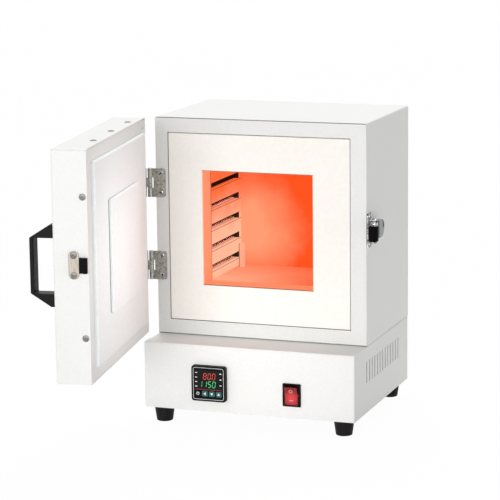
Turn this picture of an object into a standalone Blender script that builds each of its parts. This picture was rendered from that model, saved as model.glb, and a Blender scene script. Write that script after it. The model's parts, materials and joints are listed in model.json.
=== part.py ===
"""Small front-loading electric kiln with its door standing open.

Metres, +Z up. Pieces are written in the kiln's own plan: X from the centre line, Y = 0 on the
casing's front face and growing towards the back, Z from the floor. Door pieces are written as they
lie with the door shut, and the door's empty turns them to the open angle. The last step slides the
whole kiln so that the origin is under the middle of its outline.
"""

import math

import bmesh
import bpy
from mathutils import Matrix, Vector

# Casing and base, folded sheet steel
BODY_WIDTH = 0.295
CASING_HEIGHT = 0.296
CASING_DEPTH = 0.200
BASE_HEIGHT = 0.090
LEDGE_DEPTH = 0.055
SHEET = 0.0012
FOLD_RADIUS = 0.002
FIT = 0.0003
FOOT_HEIGHT = 0.022
FOOT_TOP_RADIUS = 0.014
FOOT_TIP_RADIUS = 0.011
FOOT_INSET = 0.0205
FOOT_RECESS_RADIUS = 0.005
FOOT_RECESS_DEPTH = 0.012

# Cooling slots in both sides of the base
VENT_COUNT = 13
VENT_PITCH = 0.0124
VENT_WIDTH = 0.0035
VENT_HEIGHT = 0.030
VENT_CORNER = 0.0014
VENT_FIRST_Y = 0.0010
VENT_CENTRE_Z = 0.0770

# Ceramic lining
FRONT_OPENING = 0.256
FRONT_OPENING_SHIFT = -0.002
CHAMBER_SIDE = 0.154
CHAMBER_SHIFT = -0.0035
CHAMBER_BACK_Y = 0.148
FRONT_BOARD_THICK = 0.030
FRONT_BOARD_CLEARANCE = 0.0008
WALL_THICK = 0.025
ROOF_THICK = 0.020
HEARTH_THICK = 0.020
BACK_THICK = 0.020
SLOT_COUNT = 5
SLOT_PITCH = 0.028
SLOT_HEIGHT = 0.009
LOWEST_SLOT_ABOVE_HEARTH = 0.0115
SLOT_START_Y = 0.0318
SLOT_END_Y = 0.1405
LINK_CHANNEL_WIDTH = 0.009
LINK_CHANNEL_DEPTH = 0.010

# Heating coils, their feed and the thermocouple
COIL_DIAMETER = 0.0065
COIL_SETBACK = 0.007
TAIL_DIAMETER = 0.005
TAIL_HANG = 0.022
TERMINAL_SIZE = (0.028, 0.020, 0.016)
SHEATH_DIAMETER = 0.0086
SHEATH_RISE = 0.0345
SHEATH_OFF_WALL = 0.0025
SHEATH_OFF_BACK = 0.013
SHEATH_HANG = 0.012
SHEATH_HEAD_SIZE = (0.022, 0.022, 0.014)

# Temperature controller, the 48 mm square panel size
CONTROLLER_FACE = 0.048
CONTROLLER_BODY = 0.0446
CONTROLLER_DEPTH = 0.075
CONTROLLER_PROUD = 0.007
CONTROLLER_FROM_LEFT = 0.0945
CONTROLLER_Z = 0.0615
CONTROLLER_CORNER = 0.003
PANEL_CLEARANCE = 0.0004
WINDOW_WIDTH = 0.038
WINDOW_HEIGHT = 0.0265
WINDOW_RAISE = 0.0055
WINDOW_THICK = 0.0012
KEY_WIDTH = 0.0078
KEY_HEIGHT = 0.0072
KEY_PITCH = 0.0098
KEY_DROP = 0.0135
KEY_DEPTH = 0.0032
KEY_CORNER = 0.001
KEY_PROUD = 0.0009
KEY_TRAVEL = 0.0006
KEY_CLEARANCE = 0.0003
CLAMP_SIDE = 0.052
CLAMP_DEPTH = 0.009

# Rocker switch
SWITCH_WIDTH = 0.025
SWITCH_HEIGHT = 0.031
SWITCH_PROUD = 0.0022
SWITCH_BODY_WIDTH = 0.0215
SWITCH_BODY_HEIGHT = 0.0275
SWITCH_DEPTH = 0.024
SWITCH_CORNER = 0.0012
SWITCH_FROM_RIGHT = 0.0857
SWITCH_Z = 0.0534
ROCKER_WIDTH = 0.0176
ROCKER_HEIGHT = 0.0246
ROCKER_CLEARANCE = 0.0011
ROCKER_TIP = 0.0032
ROCKER_MIDDLE = 0.0016
ROCKER_KEEL = 0.005
ROCKER_KEEL_WIDTH = 0.010
ROCKER_PIVOT_DEPTH = 0.001
ROCKER_AXLE_RADIUS = 0.0012
ROCKER_AXLE_REACH = 0.0010
ROCKER_TILT = math.radians(11)
POCKET_DEPTH = 0.0085

# Electrics inside the base and the inlet on its back
SINK_SIZE = (0.070, 0.060, 0.022)
SINK_BASE = 0.005
SINK_FINS = 7
SINK_FIN_THICK = 0.0022
SINK_FROM_RIGHT = 0.1175
SINK_FROM_BACK = 0.100
RELAY_SIZE = (0.045, 0.058, 0.024)
RELAY_CORNER = 0.002
INLET_FROM_RIGHT = 0.0575
INLET_Z = 0.067
INLET_FLANGE = (0.050, 0.028)
INLET_FLANGE_THICK = 0.003
INLET_CORNER = 0.003
INLET_BODY = (0.027, 0.020)
INLET_DEPTH = 0.024
INLET_MOUTH = (0.0246, 0.0164)
INLET_MOUTH_DEPTH = 0.0165
INLET_PIN = (0.002, 0.004)
INLET_PIN_LENGTH = 0.0115
INLET_PIN_SPREAD = 0.007
INLET_EARTH_RAISE = 0.002

# Door, shown open
DOOR_OPEN = math.radians(81.2)
DOOR_OVERHANG = 0.0075
DOOR_THICK = 0.045
DOOR_GAP_BELOW = 0.0014
DOOR_STEP_DOWN = 0.0010
DOOR_SHEET = 0.0012
DOOR_SIDE_BORDER = 0.020
DOOR_END_BORDER = 0.018
DOOR_BOARD_BURIED = 0.020
SEAL_GAP = 0.0006
PLUG_SIDE = 0.146
PLUG_RAISE = 0.0045

# Butt hinges
PIN_OFF_CASING = 0.0085
PIN_RADIUS = 0.00175
PIN_CLEARANCE = 0.00015
KNUCKLE_RADIUS = 0.0032
KNUCKLE_GAP = 0.0004
BODY_LEAF_NOTCH = 0.0022
DOOR_LEAF_NOTCH = 0.0010
LEAF_THICK = 0.0015
LEAF_REACH = 0.0222
LEAF_HEIGHT = 0.039
LEAF_CORNER = 0.003
HINGE_BELOW_TOP = 0.0893
HINGE_ABOVE_BASE = 0.0938
DOOR_FACE_FROM_PIN = 0.0048
DOOR_EDGE_FROM_PIN = 0.003

# Handle
HANDLE_HEIGHT = 0.103
HANDLE_REACH = 0.032
HANDLE_WIDTH = 0.020
GRIP_THICK = 0.0052
HANDLE_LEG = 0.0165
HANDLE_SHOULDER = 0.0165
HANDLE_FLAT = 0.006
HANDLE_OFF_EDGE = 0.008
HANDLE_EDGE = 0.001

# Roller catch on the casing and strike on the door
LATCH_HEIGHT = 0.2668
ROLLER_RADIUS = 0.0065
ROLLER_LENGTH = 0.0205
ROLLER_Y = -0.0145
ROLLER_OFF_CASING = 0.014
ROLLER_PIN_RADIUS = 0.002
YOKE_SHEET = 0.0015
YOKE_RADIUS = 0.005
YOKE_WEB_WIDTH = 0.010
PIVOT_Y = 0.013
PIVOT_OFF_CASING = 0.0075
PIVOT_RADIUS = 0.002
EAR_WIDTH = 0.010
EAR_CORNER = 0.003
LATCH_PLATE_THICK = 0.0015
LATCH_PLATE_FRONT = 0.002
LATCH_PLATE_LENGTH = 0.040
LATCH_LOBE_HEIGHT = 0.024
LATCH_BOSS_FRONT = 0.020
LATCH_BOSS_RISE = 0.012
LATCH_TAB_HEIGHT = 0.046
LATCH_TAB_LENGTH = 0.014
SPRING_RADIUS = 0.0033
SPRING_WIRE = 0.0009
SPRING_TURNS = 4
SPRING_HEIGHT = 0.012
STRIKE_PLATE_WIDTH = 0.0135
STRIKE_PLATE_HEIGHT = 0.035
STRIKE_PLATE_THICK = 0.0012
STRIKE_PLATE_CORNER = 0.0055
STRIKE_PLATE_FROM_FACE = 0.0187
STRIKE_NEAR = 0.0014
STRIKE_FAR = 0.0115
STRIKE_HEIGHT = 0.0195
STRIKE_BASE = 0.003
STRIKE_RIDGE_BACK = 0.0030
STRIKE_RIDGE_WIDTH = 0.0012
STRIKE_CLEARANCE = 0.0004
STRIKE_DROP = 0.003

ROUND_SIDES = 24

# Levels and planes that follow from the sizes above
BASE_FLOOR = FOOT_HEIGHT
BASE_TOP = FOOT_HEIGHT + BASE_HEIGHT
CASING_FLOOR = BASE_TOP + FIT
CASING_TOP = BASE_TOP + CASING_HEIGHT
CASING_MIDDLE = BASE_TOP + CASING_HEIGHT / 2
SIDE = BODY_WIDTH / 2
INNER_SIDE = SIDE - SHEET
BASE_FRONT = -LEDGE_DEPTH
CONTROLLER_X = -SIDE + CONTROLLER_FROM_LEFT
SWITCH_X = SIDE - SWITCH_FROM_RIGHT
INLET_X = SIDE - INLET_FROM_RIGHT
CHAMBER_LEFT = CHAMBER_SHIFT - CHAMBER_SIDE / 2
CHAMBER_RIGHT = CHAMBER_SHIFT + CHAMBER_SIDE / 2
HEARTH_TOP = CASING_MIDDLE - CHAMBER_SIDE / 2
ROOF_UNDERSIDE = CASING_MIDDLE + CHAMBER_SIDE / 2
LINING_BACK = CHAMBER_BACK_Y + BACK_THICK
PIN_X = -SIDE - PIN_OFF_CASING
PIN_Y = -FIT - LEAF_THICK / 2
DOOR_LEFT = PIN_X + DOOR_EDGE_FROM_PIN
DOOR_RIGHT = DOOR_LEFT + BODY_WIDTH + DOOR_OVERHANG
DOOR_FACE = PIN_Y - DOOR_FACE_FROM_PIN
DOOR_OUTSIDE = DOOR_FACE - DOOR_THICK
DOOR_BOTTOM = BASE_TOP + DOOR_GAP_BELOW
DOOR_TOP = CASING_TOP - DOOR_STEP_DOWN

# Paint, ceramic and metal finishes: colour, roughness, metallic
WHITE_PAINT = ((0.82, 0.82, 0.81), 0.45, 0.0)
CERAMIC_BOARD = ((0.88, 0.84, 0.76), 0.95, 0.0)
HOT_BOARD = ((0.90, 0.42, 0.22), 0.95, 0.0)
FIBRE_BLANKET = ((0.90, 0.89, 0.86), 1.0, 0.0)
HEATING_ALLOY = ((0.10, 0.07, 0.06), 0.60, 0.6)
BLACK_PLASTIC = ((0.015, 0.015, 0.016), 0.45, 0.0)
BLACK_RUBBER = ((0.012, 0.012, 0.012), 0.80, 0.0)
TINTED_WINDOW = ((0.010, 0.012, 0.012), 0.12, 0.0)
TEAL_KEY = ((0.030, 0.180, 0.170), 0.50, 0.0)
RED_LENS = ((0.650, 0.020, 0.025), 0.25, 0.0)
ZINC_STEEL = ((0.52, 0.52, 0.50), 0.35, 1.0)
CHROME = ((0.75, 0.75, 0.76), 0.12, 1.0)
ALUMINIUM = ((0.70, 0.71, 0.72), 0.40, 1.0)
WHITE_CERAMIC = ((0.85, 0.83, 0.78), 0.50, 0.0)


def new_collection(name):
    """A collection of this name, linked to the scene."""
    collection = bpy.data.collections.new(name)
    bpy.context.scene.collection.children.link(collection)
    return collection


for old in list(bpy.data.objects):
    bpy.data.objects.remove(old, do_unlink=True)
PARTS = new_collection("pottery_kiln")
CUTTERS = new_collection("cutters")


def pivot(name, at, parent=None, turn=(0.0, 0.0, 0.0)):
    """An empty on a joint's axis; pieces under it are written as they lie before it is turned."""
    empty = bpy.data.objects.new(name, None)
    empty["at"] = at
    empty.parent = parent
    start = parent["at"] if parent else (0.0, 0.0, 0.0)
    empty.location = Vector(at) - Vector(start)
    empty.rotation_euler = turn
    PARTS.objects.link(empty)
    return empty


def paint(name, finish):
    """A Principled material of this piece's own."""
    colour, roughness, metallic = finish
    material = bpy.data.materials.new(name)
    material.use_nodes = True
    shader = material.node_tree.nodes["Principled BSDF"]
    shader.inputs["Base Color"].default_value = (*colour, 1.0)
    shader.inputs["Roughness"].default_value = roughness
    shader.inputs["Metallic"].default_value = metallic
    return material


def place(name, mesh, centre, parent, finish):
    """The piece of this mesh; without a finish it is a cutter or a shape to join."""
    obj = bpy.data.objects.new(name, mesh)
    obj.parent = parent
    obj.location = Vector(centre) - Vector(parent["at"])
    if finish is None:
        CUTTERS.objects.link(obj)
        obj.hide_render = True
        obj.display_type = "WIRE"
    else:
        PARTS.objects.link(obj)
        mesh.materials.append(paint(name, finish))
    return obj


def mesh_of(name, bm):
    mesh = bpy.data.meshes.new(name)
    bm.to_mesh(mesh)
    bm.free()
    return mesh


def box(name, low, high, parent, finish=None, along="", radius=0.0, steps=2, open_side=None):
    """A box between two corners, with its edges along the named axes rounded.

    Edges on open_side, an axis letter with its sign, stay sharp.
    """
    size = Vector(high) - Vector(low)
    bm = bmesh.new()
    bmesh.ops.create_cube(bm, size=1.0)
    bmesh.ops.scale(bm, vec=size, verts=bm.verts)

    def is_rounded(edge):
        step = edge.verts[1].co - edge.verts[0].co
        middle = (edge.verts[1].co + edge.verts[0].co) / 2
        if open_side:
            axis = "XYZ".index(open_side[1])
            sign = -1.0 if open_side[0] == "-" else 1.0
            if sign * middle[axis] > 0.49 * size[axis]:
                return False
        return any(abs(step["XYZ".index(letter)]) > 0.5 * step.length for letter in along)

    if radius:
        edges = [edge for edge in bm.edges if is_rounded(edge)]
        bmesh.ops.bevel(
            bm, geom=edges, offset=radius, segments=steps, profile=0.5, affect="EDGES"
        )
    centre = (Vector(high) + Vector(low)) / 2
    return place(name, mesh_of(name, bm), centre, parent, finish)


def rod(name, centre, axis, length, radius, parent, finish=None, tip_radius=None, sides=ROUND_SIDES):
    """A cylinder along an axis, or a cone frustum where tip_radius is given for its + end."""
    bm = bmesh.new()
    bmesh.ops.create_cone(
        bm,
        cap_ends=True,
        segments=sides,
        radius1=radius,
        radius2=radius if tip_radius is None else tip_radius,
        depth=length,
    )
    turns = {"X": Matrix.Rotation(math.pi / 2, 3, "Y"), "Y": Matrix.Rotation(-math.pi / 2, 3, "X")}
    if axis in turns:
        bmesh.ops.rotate(bm, matrix=turns[axis], verts=bm.verts)
    mesh = mesh_of(name, bm)
    mesh.shade_smooth()
    mesh.set_sharp_from_angle(angle=math.radians(40))
    return place(name, mesh, centre, parent, finish)


def outline(name, points, axis, low, high, parent, finish=None):
    """A flat outline given a thickness from low to high along an axis.

    Points are (Y, Z) for axis X, (Z, X) for axis Y and (X, Y) for axis Z.
    """
    curve = bpy.data.curves.new(name, "CURVE")
    curve.dimensions = "2D"
    curve.fill_mode = "BOTH"
    curve.extrude = (high - low) / 2
    spline = curve.splines.new("POLY")
    spline.points.add(len(points) - 1)
    for point, (u, v) in zip(spline.points, points):
        point.co = (u, v, 0.0, 1.0)
    spline.use_cyclic_u = True
    guide = bpy.data.objects.new(name + "_outline", curve)
    CUTTERS.objects.link(guide)
    bpy.context.view_layer.update()
    graph = bpy.context.evaluated_depsgraph_get()
    mesh = bpy.data.meshes.new_from_object(guide.evaluated_get(graph))
    bpy.data.objects.remove(guide, do_unlink=True)
    turn = {
        "X": Matrix(((0, 0, 1), (1, 0, 0), (0, 1, 0))),
        "Y": Matrix(((0, 1, 0), (0, 0, 1), (1, 0, 0))),
        "Z": Matrix.Identity(3),
    }[axis]
    bm = bmesh.new()
    bm.from_mesh(mesh)
    bmesh.ops.remove_doubles(bm, verts=bm.verts, dist=1e-6)
    bmesh.ops.rotate(bm, matrix=turn, verts=bm.verts)
    bmesh.ops.recalc_face_normals(bm, faces=bm.faces)
    bm.to_mesh(mesh)
    bm.free()
    centre = [0.0, 0.0, 0.0]
    centre["XYZ".index(axis)] = (low + high) / 2
    return place(name, mesh, centre, parent, finish)


def wire(name, points, diameter, parent, finish):
    """A round wire along the points."""
    curve = bpy.data.curves.new(name, "CURVE")
    curve.dimensions = "3D"
    curve.bevel_depth = diameter / 2
    curve.bevel_resolution = 2
    curve.use_fill_caps = True
    spline = curve.splines.new("POLY")
    spline.points.add(len(points) - 1)
    for point, at in zip(spline.points, points):
        point.co = (*(Vector(at) - Vector(parent["at"])), 1.0)
    curve.materials.append(paint(name, finish))
    obj = bpy.data.objects.new(name, curve)
    obj.parent = parent
    PARTS.objects.link(obj)
    return obj


def boolean(target, other, operation):
    modifier = target.modifiers.new(other.name, "BOOLEAN")
    modifier.operation = operation
    modifier.solver = "EXACT"
    modifier.object = other


def cut(target, *others):
    for other in others:
        boolean(target, other, "DIFFERENCE")


def join(target, *others):
    for other in others:
        boolean(target, other, "UNION")


def soften(obj, width, steps=2):
    """Small rounded edges on a finished piece."""
    modifier = obj.modifiers.new("edges", "BEVEL")
    modifier.width = width
    modifier.segments = steps
    modifier.limit_method = "ANGLE"
    modifier.angle_limit = math.radians(40)


def grown(low, high, by):
    """The two corners moved outwards by this much on every side."""
    return [v - by for v in low], [v + by for v in high]


def arc(centre, radius, start, end, steps):
    """Points on an arc between two angles in degrees."""
    angles = [math.radians(start + (end - start) * i / steps) for i in range(steps + 1)]
    return [(centre[0] + radius * math.cos(a), centre[1] + radius * math.sin(a)) for a in angles]


kiln = pivot("kiln", (0.0, 0.0, 0.0))

# Base box: one folded case, open below, and the plate that closes it
base_case = box(
    "base_case",
    (-SIDE, BASE_FRONT, BASE_FLOOR),
    (SIDE, CASING_DEPTH, BASE_TOP),
    kiln,
    WHITE_PAINT,
    along="XYZ",
    radius=FOLD_RADIUS,
    open_side="-Z",
)
cut(
    base_case,
    box(
        "base_case_hollow",
        (-INNER_SIDE, BASE_FRONT + SHEET, BASE_FLOOR - BASE_HEIGHT),
        (INNER_SIDE, CASING_DEPTH - SHEET, BASE_TOP - SHEET),
        kiln,
    ),
)
for index in range(VENT_COUNT):
    vent_y = VENT_FIRST_Y + index * VENT_PITCH
    vent = box(
        f"vent_{index}",
        (-BODY_WIDTH, vent_y - VENT_WIDTH / 2, VENT_CENTRE_Z - VENT_HEIGHT / 2),
        (BODY_WIDTH, vent_y + VENT_WIDTH / 2, VENT_CENTRE_Z + VENT_HEIGHT / 2),
        kiln,
        along="X",
        radius=VENT_CORNER,
    )
    cut(base_case, vent)
base_plate = box(
    "base_plate",
    (-INNER_SIDE + FIT, BASE_FRONT + SHEET + FIT, BASE_FLOOR),
    (INNER_SIDE - FIT, CASING_DEPTH - SHEET - FIT, BASE_FLOOR + SHEET),
    kiln,
    WHITE_PAINT,
)
BAY_FLOOR = BASE_FLOOR + SHEET + FIT
BAY_ROOF = BASE_TOP - SHEET - FIT

# Four tapered rubber feet, each with the recess of its screw
foot_rows = {"front": BASE_FRONT + FOOT_INSET, "rear": CASING_DEPTH - FOOT_INSET}
foot_columns = {"left": -SIDE + FOOT_INSET, "right": SIDE - FOOT_INSET}
foot_length = FOOT_HEIGHT - FIT
for row, foot_y in foot_rows.items():
    for column, foot_x in foot_columns.items():
        foot = rod(
            f"foot_{row}_{column}",
            (foot_x, foot_y, foot_length / 2),
            "Z",
            foot_length,
            FOOT_TIP_RADIUS,
            kiln,
            BLACK_RUBBER,
            tip_radius=FOOT_TOP_RADIUS,
        )
        cut(
            foot,
            rod(
                f"foot_recess_{row}_{column}",
                (foot_x, foot_y, 0.0),
                "Z",
                2 * FOOT_RECESS_DEPTH,
                FOOT_RECESS_RADIUS,
                kiln,
            ),
        )

# Temperature controller: bezel and case in one moulding, held by a clamp frame behind the panel
bezel_front = BASE_FRONT - CONTROLLER_PROUD
half_face = CONTROLLER_FACE / 2
half_body = CONTROLLER_BODY / 2
controller_case = box(
    "controller_case",
    (CONTROLLER_X - half_face, bezel_front, CONTROLLER_Z - half_face),
    (CONTROLLER_X + half_face, BASE_FRONT - FIT, CONTROLLER_Z + half_face),
    kiln,
    BLACK_PLASTIC,
    along="Y",
    radius=CONTROLLER_CORNER,
)
body_low = (CONTROLLER_X - half_body, BASE_FRONT - CONTROLLER_PROUD / 2, CONTROLLER_Z - half_body)
body_high = (CONTROLLER_X + half_body, BASE_FRONT + CONTROLLER_DEPTH, CONTROLLER_Z + half_body)
join(controller_case, box("controller_body", body_low, body_high, kiln))
panel_low, panel_high = grown(body_low, body_high, PANEL_CLEARANCE)
cut(base_case, box("controller_cutout", panel_low, panel_high, kiln))
window_z = CONTROLLER_Z + WINDOW_RAISE
window_low = (CONTROLLER_X - WINDOW_WIDTH / 2, bezel_front, window_z - WINDOW_HEIGHT / 2)
window_high = (
    CONTROLLER_X + WINDOW_WIDTH / 2,
    bezel_front + WINDOW_THICK,
    window_z + WINDOW_HEIGHT / 2,
)
box("controller_window", window_low, window_high, kiln, TINTED_WINDOW)
cut(controller_case, box("window_seat", *grown(window_low, window_high, FIT), kiln))
clamp_low = (CONTROLLER_X - CLAMP_SIDE / 2, BASE_FRONT + SHEET + FIT, CONTROLLER_Z - CLAMP_SIDE / 2)
clamp_high = (
    CONTROLLER_X + CLAMP_SIDE / 2,
    BASE_FRONT + SHEET + FIT + CLAMP_DEPTH,
    CONTROLLER_Z + CLAMP_SIDE / 2,
)
controller_clamp = box("controller_clamp", clamp_low, clamp_high, kiln, BLACK_PLASTIC)
cut(controller_clamp, box("clamp_hole", *grown(body_low, body_high, FIT), kiln))

# Four push keys in a row under the window
key_z = CONTROLLER_Z - KEY_DROP
for index, key_name in enumerate(("set", "shift", "down", "up")):
    key_x = CONTROLLER_X + (index - 1.5) * KEY_PITCH
    key_low = (key_x - KEY_WIDTH / 2, bezel_front - KEY_PROUD, key_z - KEY_HEIGHT / 2)
    key_high = (
        key_x + KEY_WIDTH / 2,
        bezel_front - KEY_PROUD + KEY_DEPTH,
        key_z + KEY_HEIGHT / 2,
    )
    key_axis = pivot(f"key_{key_name}_travel", (key_x, bezel_front, key_z), kiln)
    box(
        f"key_{key_name}",
        key_low,
        key_high,
        key_axis,
        BLACK_PLASTIC if key_name == "set" else TEAL_KEY,
        along="Y",
        radius=KEY_CORNER,
    )
    pocket_low, pocket_high = grown(key_low, key_high, KEY_CLEARANCE)
    pocket_high[1] += KEY_TRAVEL
    cut(controller_case, box(f"key_pocket_{key_name}", pocket_low, pocket_high, kiln))

# Rocker switch: housing with its pocket, and a rocker on a moulded axle, resting with ON pressed
switch_front = BASE_FRONT - SWITCH_PROUD
switch_housing = box(
    "switch_housing",
    (SWITCH_X - SWITCH_WIDTH / 2, switch_front, SWITCH_Z - SWITCH_HEIGHT / 2),
    (SWITCH_X + SWITCH_WIDTH / 2, BASE_FRONT - FIT, SWITCH_Z + SWITCH_HEIGHT / 2),
    kiln,
    BLACK_PLASTIC,
    along="Y",
    radius=SWITCH_CORNER,
)
switch_low = (
    SWITCH_X - SWITCH_BODY_WIDTH / 2,
    BASE_FRONT - SWITCH_PROUD / 2,
    SWITCH_Z - SWITCH_BODY_HEIGHT / 2,
)
switch_high = (
    SWITCH_X + SWITCH_BODY_WIDTH / 2,
    BASE_FRONT + SWITCH_DEPTH,
    SWITCH_Z + SWITCH_BODY_HEIGHT / 2,
)
join(switch_housing, box("switch_body", switch_low, switch_high, kiln))
cut(base_case, box("switch_cutout", *grown(switch_low, switch_high, PANEL_CLEARANCE), kiln))
pocket_half = ROCKER_HEIGHT / 2 + ROCKER_CLEARANCE
cut(
    switch_housing,
    box(
        "rocker_pocket",
        (SWITCH_X - ROCKER_WIDTH / 2 - FIT, switch_front - SWITCH_PROUD, SWITCH_Z - pocket_half),
        (SWITCH_X + ROCKER_WIDTH / 2 + FIT, switch_front + POCKET_DEPTH, SWITCH_Z + pocket_half),
        kiln,
    ),
)
axle_at = (SWITCH_X, switch_front + ROCKER_PIVOT_DEPTH, SWITCH_Z)
axle_half = ROCKER_WIDTH / 2 + ROCKER_AXLE_REACH
cut(
    switch_housing,
    rod("axle_socket", axle_at, "X", 2 * axle_half + 2 * FIT, ROCKER_AXLE_RADIUS + FIT, kiln),
)
rocker_axis = pivot("rocker_axis", axle_at, kiln, turn=(ROCKER_TILT, 0.0, 0.0))
half_rocker = ROCKER_HEIGHT / 2
rocker_profile = [
    (switch_front - ROCKER_TIP, SWITCH_Z + half_rocker),
    (switch_front - ROCKER_MIDDLE, SWITCH_Z),
    (switch_front - ROCKER_TIP, SWITCH_Z - half_rocker),
    (switch_front, SWITCH_Z - half_rocker),
    (switch_front + ROCKER_KEEL, SWITCH_Z - ROCKER_KEEL_WIDTH / 2),
    (switch_front + ROCKER_KEEL, SWITCH_Z + ROCKER_KEEL_WIDTH / 2),
    (switch_front, SWITCH_Z + half_rocker),
]
switch_rocker = outline(
    "switch_rocker",
    rocker_profile,
    "X",
    SWITCH_X - ROCKER_WIDTH / 2,
    SWITCH_X + ROCKER_WIDTH / 2,
    rocker_axis,
    RED_LENS,
)
join(
    switch_rocker,
    rod("rocker_axle", axle_at, "X", 2 * axle_half, ROCKER_AXLE_RADIUS, rocker_axis),
)

# Relay on its finned heat sink, standing on the base plate
sink_x = SIDE - SINK_FROM_RIGHT
sink_y = CASING_DEPTH - SINK_FROM_BACK
sink_width, sink_length, sink_height = SINK_SIZE
sink_top = BAY_FLOOR + sink_height
heat_sink = box(
    "heat_sink",
    (sink_x - sink_width / 2, sink_y - sink_length / 2, BAY_FLOOR),
    (sink_x + sink_width / 2, sink_y + sink_length / 2, sink_top),
    kiln,
    ALUMINIUM,
)
fin_pitch = (sink_width - SINK_FIN_THICK) / (SINK_FINS - 1)
for index in range(SINK_FINS - 1):
    gap_low = sink_x - sink_width / 2 + index * fin_pitch + SINK_FIN_THICK
    cut(
        heat_sink,
        box(
            f"fin_gap_{index}",
            (gap_low, sink_y - sink_length, BAY_FLOOR - SINK_BASE),
            (gap_low + fin_pitch - SINK_FIN_THICK, sink_y + sink_length, sink_top - SINK_BASE),
            kiln,
        ),
    )
box(
    "solid_state_relay",
    (sink_x - RELAY_SIZE[0] / 2, sink_y - RELAY_SIZE[1] / 2, sink_top + FIT),
    (sink_x + RELAY_SIZE[0] / 2, sink_y + RELAY_SIZE[1] / 2, sink_top + FIT + RELAY_SIZE[2]),
    kiln,
    BLACK_PLASTIC,
    along="Z",
    radius=RELAY_CORNER,
)

# Mains inlet on the back of the base: flange, body, mouth and three flat pins
flange_back = CASING_DEPTH + FIT + INLET_FLANGE_THICK
power_inlet = box(
    "power_inlet",
    (INLET_X - INLET_FLANGE[0] / 2, CASING_DEPTH + FIT, INLET_Z - INLET_FLANGE[1] / 2),
    (INLET_X + INLET_FLANGE[0] / 2, flange_back, INLET_Z + INLET_FLANGE[1] / 2),
    kiln,
    BLACK_PLASTIC,
    along="Y",
    radius=INLET_CORNER,
)
inlet_low = (INLET_X - INLET_BODY[0] / 2, flange_back - INLET_DEPTH, INLET_Z - INLET_BODY[1] / 2)
inlet_high = (
    INLET_X + INLET_BODY[0] / 2,
    flange_back - INLET_FLANGE_THICK / 2,
    INLET_Z + INLET_BODY[1] / 2,
)
join(power_inlet, box("inlet_body", inlet_low, inlet_high, kiln))
cut(base_case, box("inlet_cutout", *grown(inlet_low, inlet_high, PANEL_CLEARANCE), kiln))
mouth_floor = flange_back - INLET_MOUTH_DEPTH
cut(
    power_inlet,
    box(
        "inlet_mouth",
        (INLET_X - INLET_MOUTH[0] / 2, mouth_floor, INLET_Z - INLET_MOUTH[1] / 2),
        (INLET_X + INLET_MOUTH[0] / 2, flange_back + INLET_DEPTH, INLET_Z + INLET_MOUTH[1] / 2),
        kiln,
    ),
)
pin_places = ((-1, -1), (0, 1), (1, -1))
for index, (pin_side, pin_level) in enumerate(pin_places):
    pin_x = INLET_X + pin_side * INLET_PIN_SPREAD
    pin_z = INLET_Z + pin_level * INLET_EARTH_RAISE
    join(
        power_inlet,
        box(
            f"inlet_pin_{index}",
            (pin_x - INLET_PIN[0] / 2, mouth_floor - SHEET, pin_z - INLET_PIN[1] / 2),
            (pin_x + INLET_PIN[0] / 2, mouth_floor + INLET_PIN_LENGTH, pin_z + INLET_PIN[1] / 2),
            kiln,
        ),
    )

# Casing: wrap-round shell, front frame, back panel and floor panel
shell_front = SHEET + FIT
shell_back = CASING_DEPTH - SHEET - FIT
body_shell = box(
    "body_shell",
    (-SIDE, shell_front, CASING_FLOOR),
    (SIDE, shell_back, CASING_TOP),
    kiln,
    WHITE_PAINT,
    along="Y",
    radius=FOLD_RADIUS,
    open_side="-Z",
)
cut(
    body_shell,
    box(
        "shell_hollow",
        (-INNER_SIDE, -CASING_DEPTH, CASING_FLOOR - CASING_HEIGHT),
        (INNER_SIDE, 2 * CASING_DEPTH, CASING_TOP - SHEET),
        kiln,
    ),
)
front_frame = box(
    "front_frame",
    (-SIDE, 0.0, CASING_FLOOR),
    (SIDE, SHEET, CASING_TOP),
    kiln,
    WHITE_PAINT,
    along="Y",
    radius=FOLD_RADIUS,
    open_side="-Z",
)
half_opening = FRONT_OPENING / 2
cut(
    front_frame,
    box(
        "front_opening",
        (FRONT_OPENING_SHIFT - half_opening, -SHEET, CASING_MIDDLE - half_opening),
        (FRONT_OPENING_SHIFT + half_opening, 2 * SHEET, CASING_MIDDLE + half_opening),
        kiln,
    ),
)
box(
    "back_panel",
    (-SIDE, CASING_DEPTH - SHEET, CASING_FLOOR),
    (SIDE, CASING_DEPTH, CASING_TOP),
    kiln,
    WHITE_PAINT,
    along="Y",
    radius=FOLD_RADIUS,
    open_side="-Z",
)
floor_panel = box(
    "floor_panel",
    (-INNER_SIDE + FIT, shell_front, CASING_FLOOR),
    (INNER_SIDE - FIT, shell_back, CASING_FLOOR + SHEET),
    kiln,
    WHITE_PAINT,
)

# Front board: the thick ceramic slab round the mouth of the chamber
half_board = half_opening - FRONT_BOARD_CLEARANCE
board_low = (FRONT_OPENING_SHIFT - half_board, 0.0, CASING_MIDDLE - half_board)
board_high = (FRONT_OPENING_SHIFT + half_board, FRONT_BOARD_THICK, CASING_MIDDLE + half_board)
front_board = box("front_board", board_low, board_high, kiln, CERAMIC_BOARD)
cut(
    front_board,
    box(
        "chamber_mouth",
        (CHAMBER_LEFT, -FRONT_BOARD_THICK, HEARTH_TOP),
        (CHAMBER_RIGHT, 2 * FRONT_BOARD_THICK, ROOF_UNDERSIDE),
        kiln,
    ),
)

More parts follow.
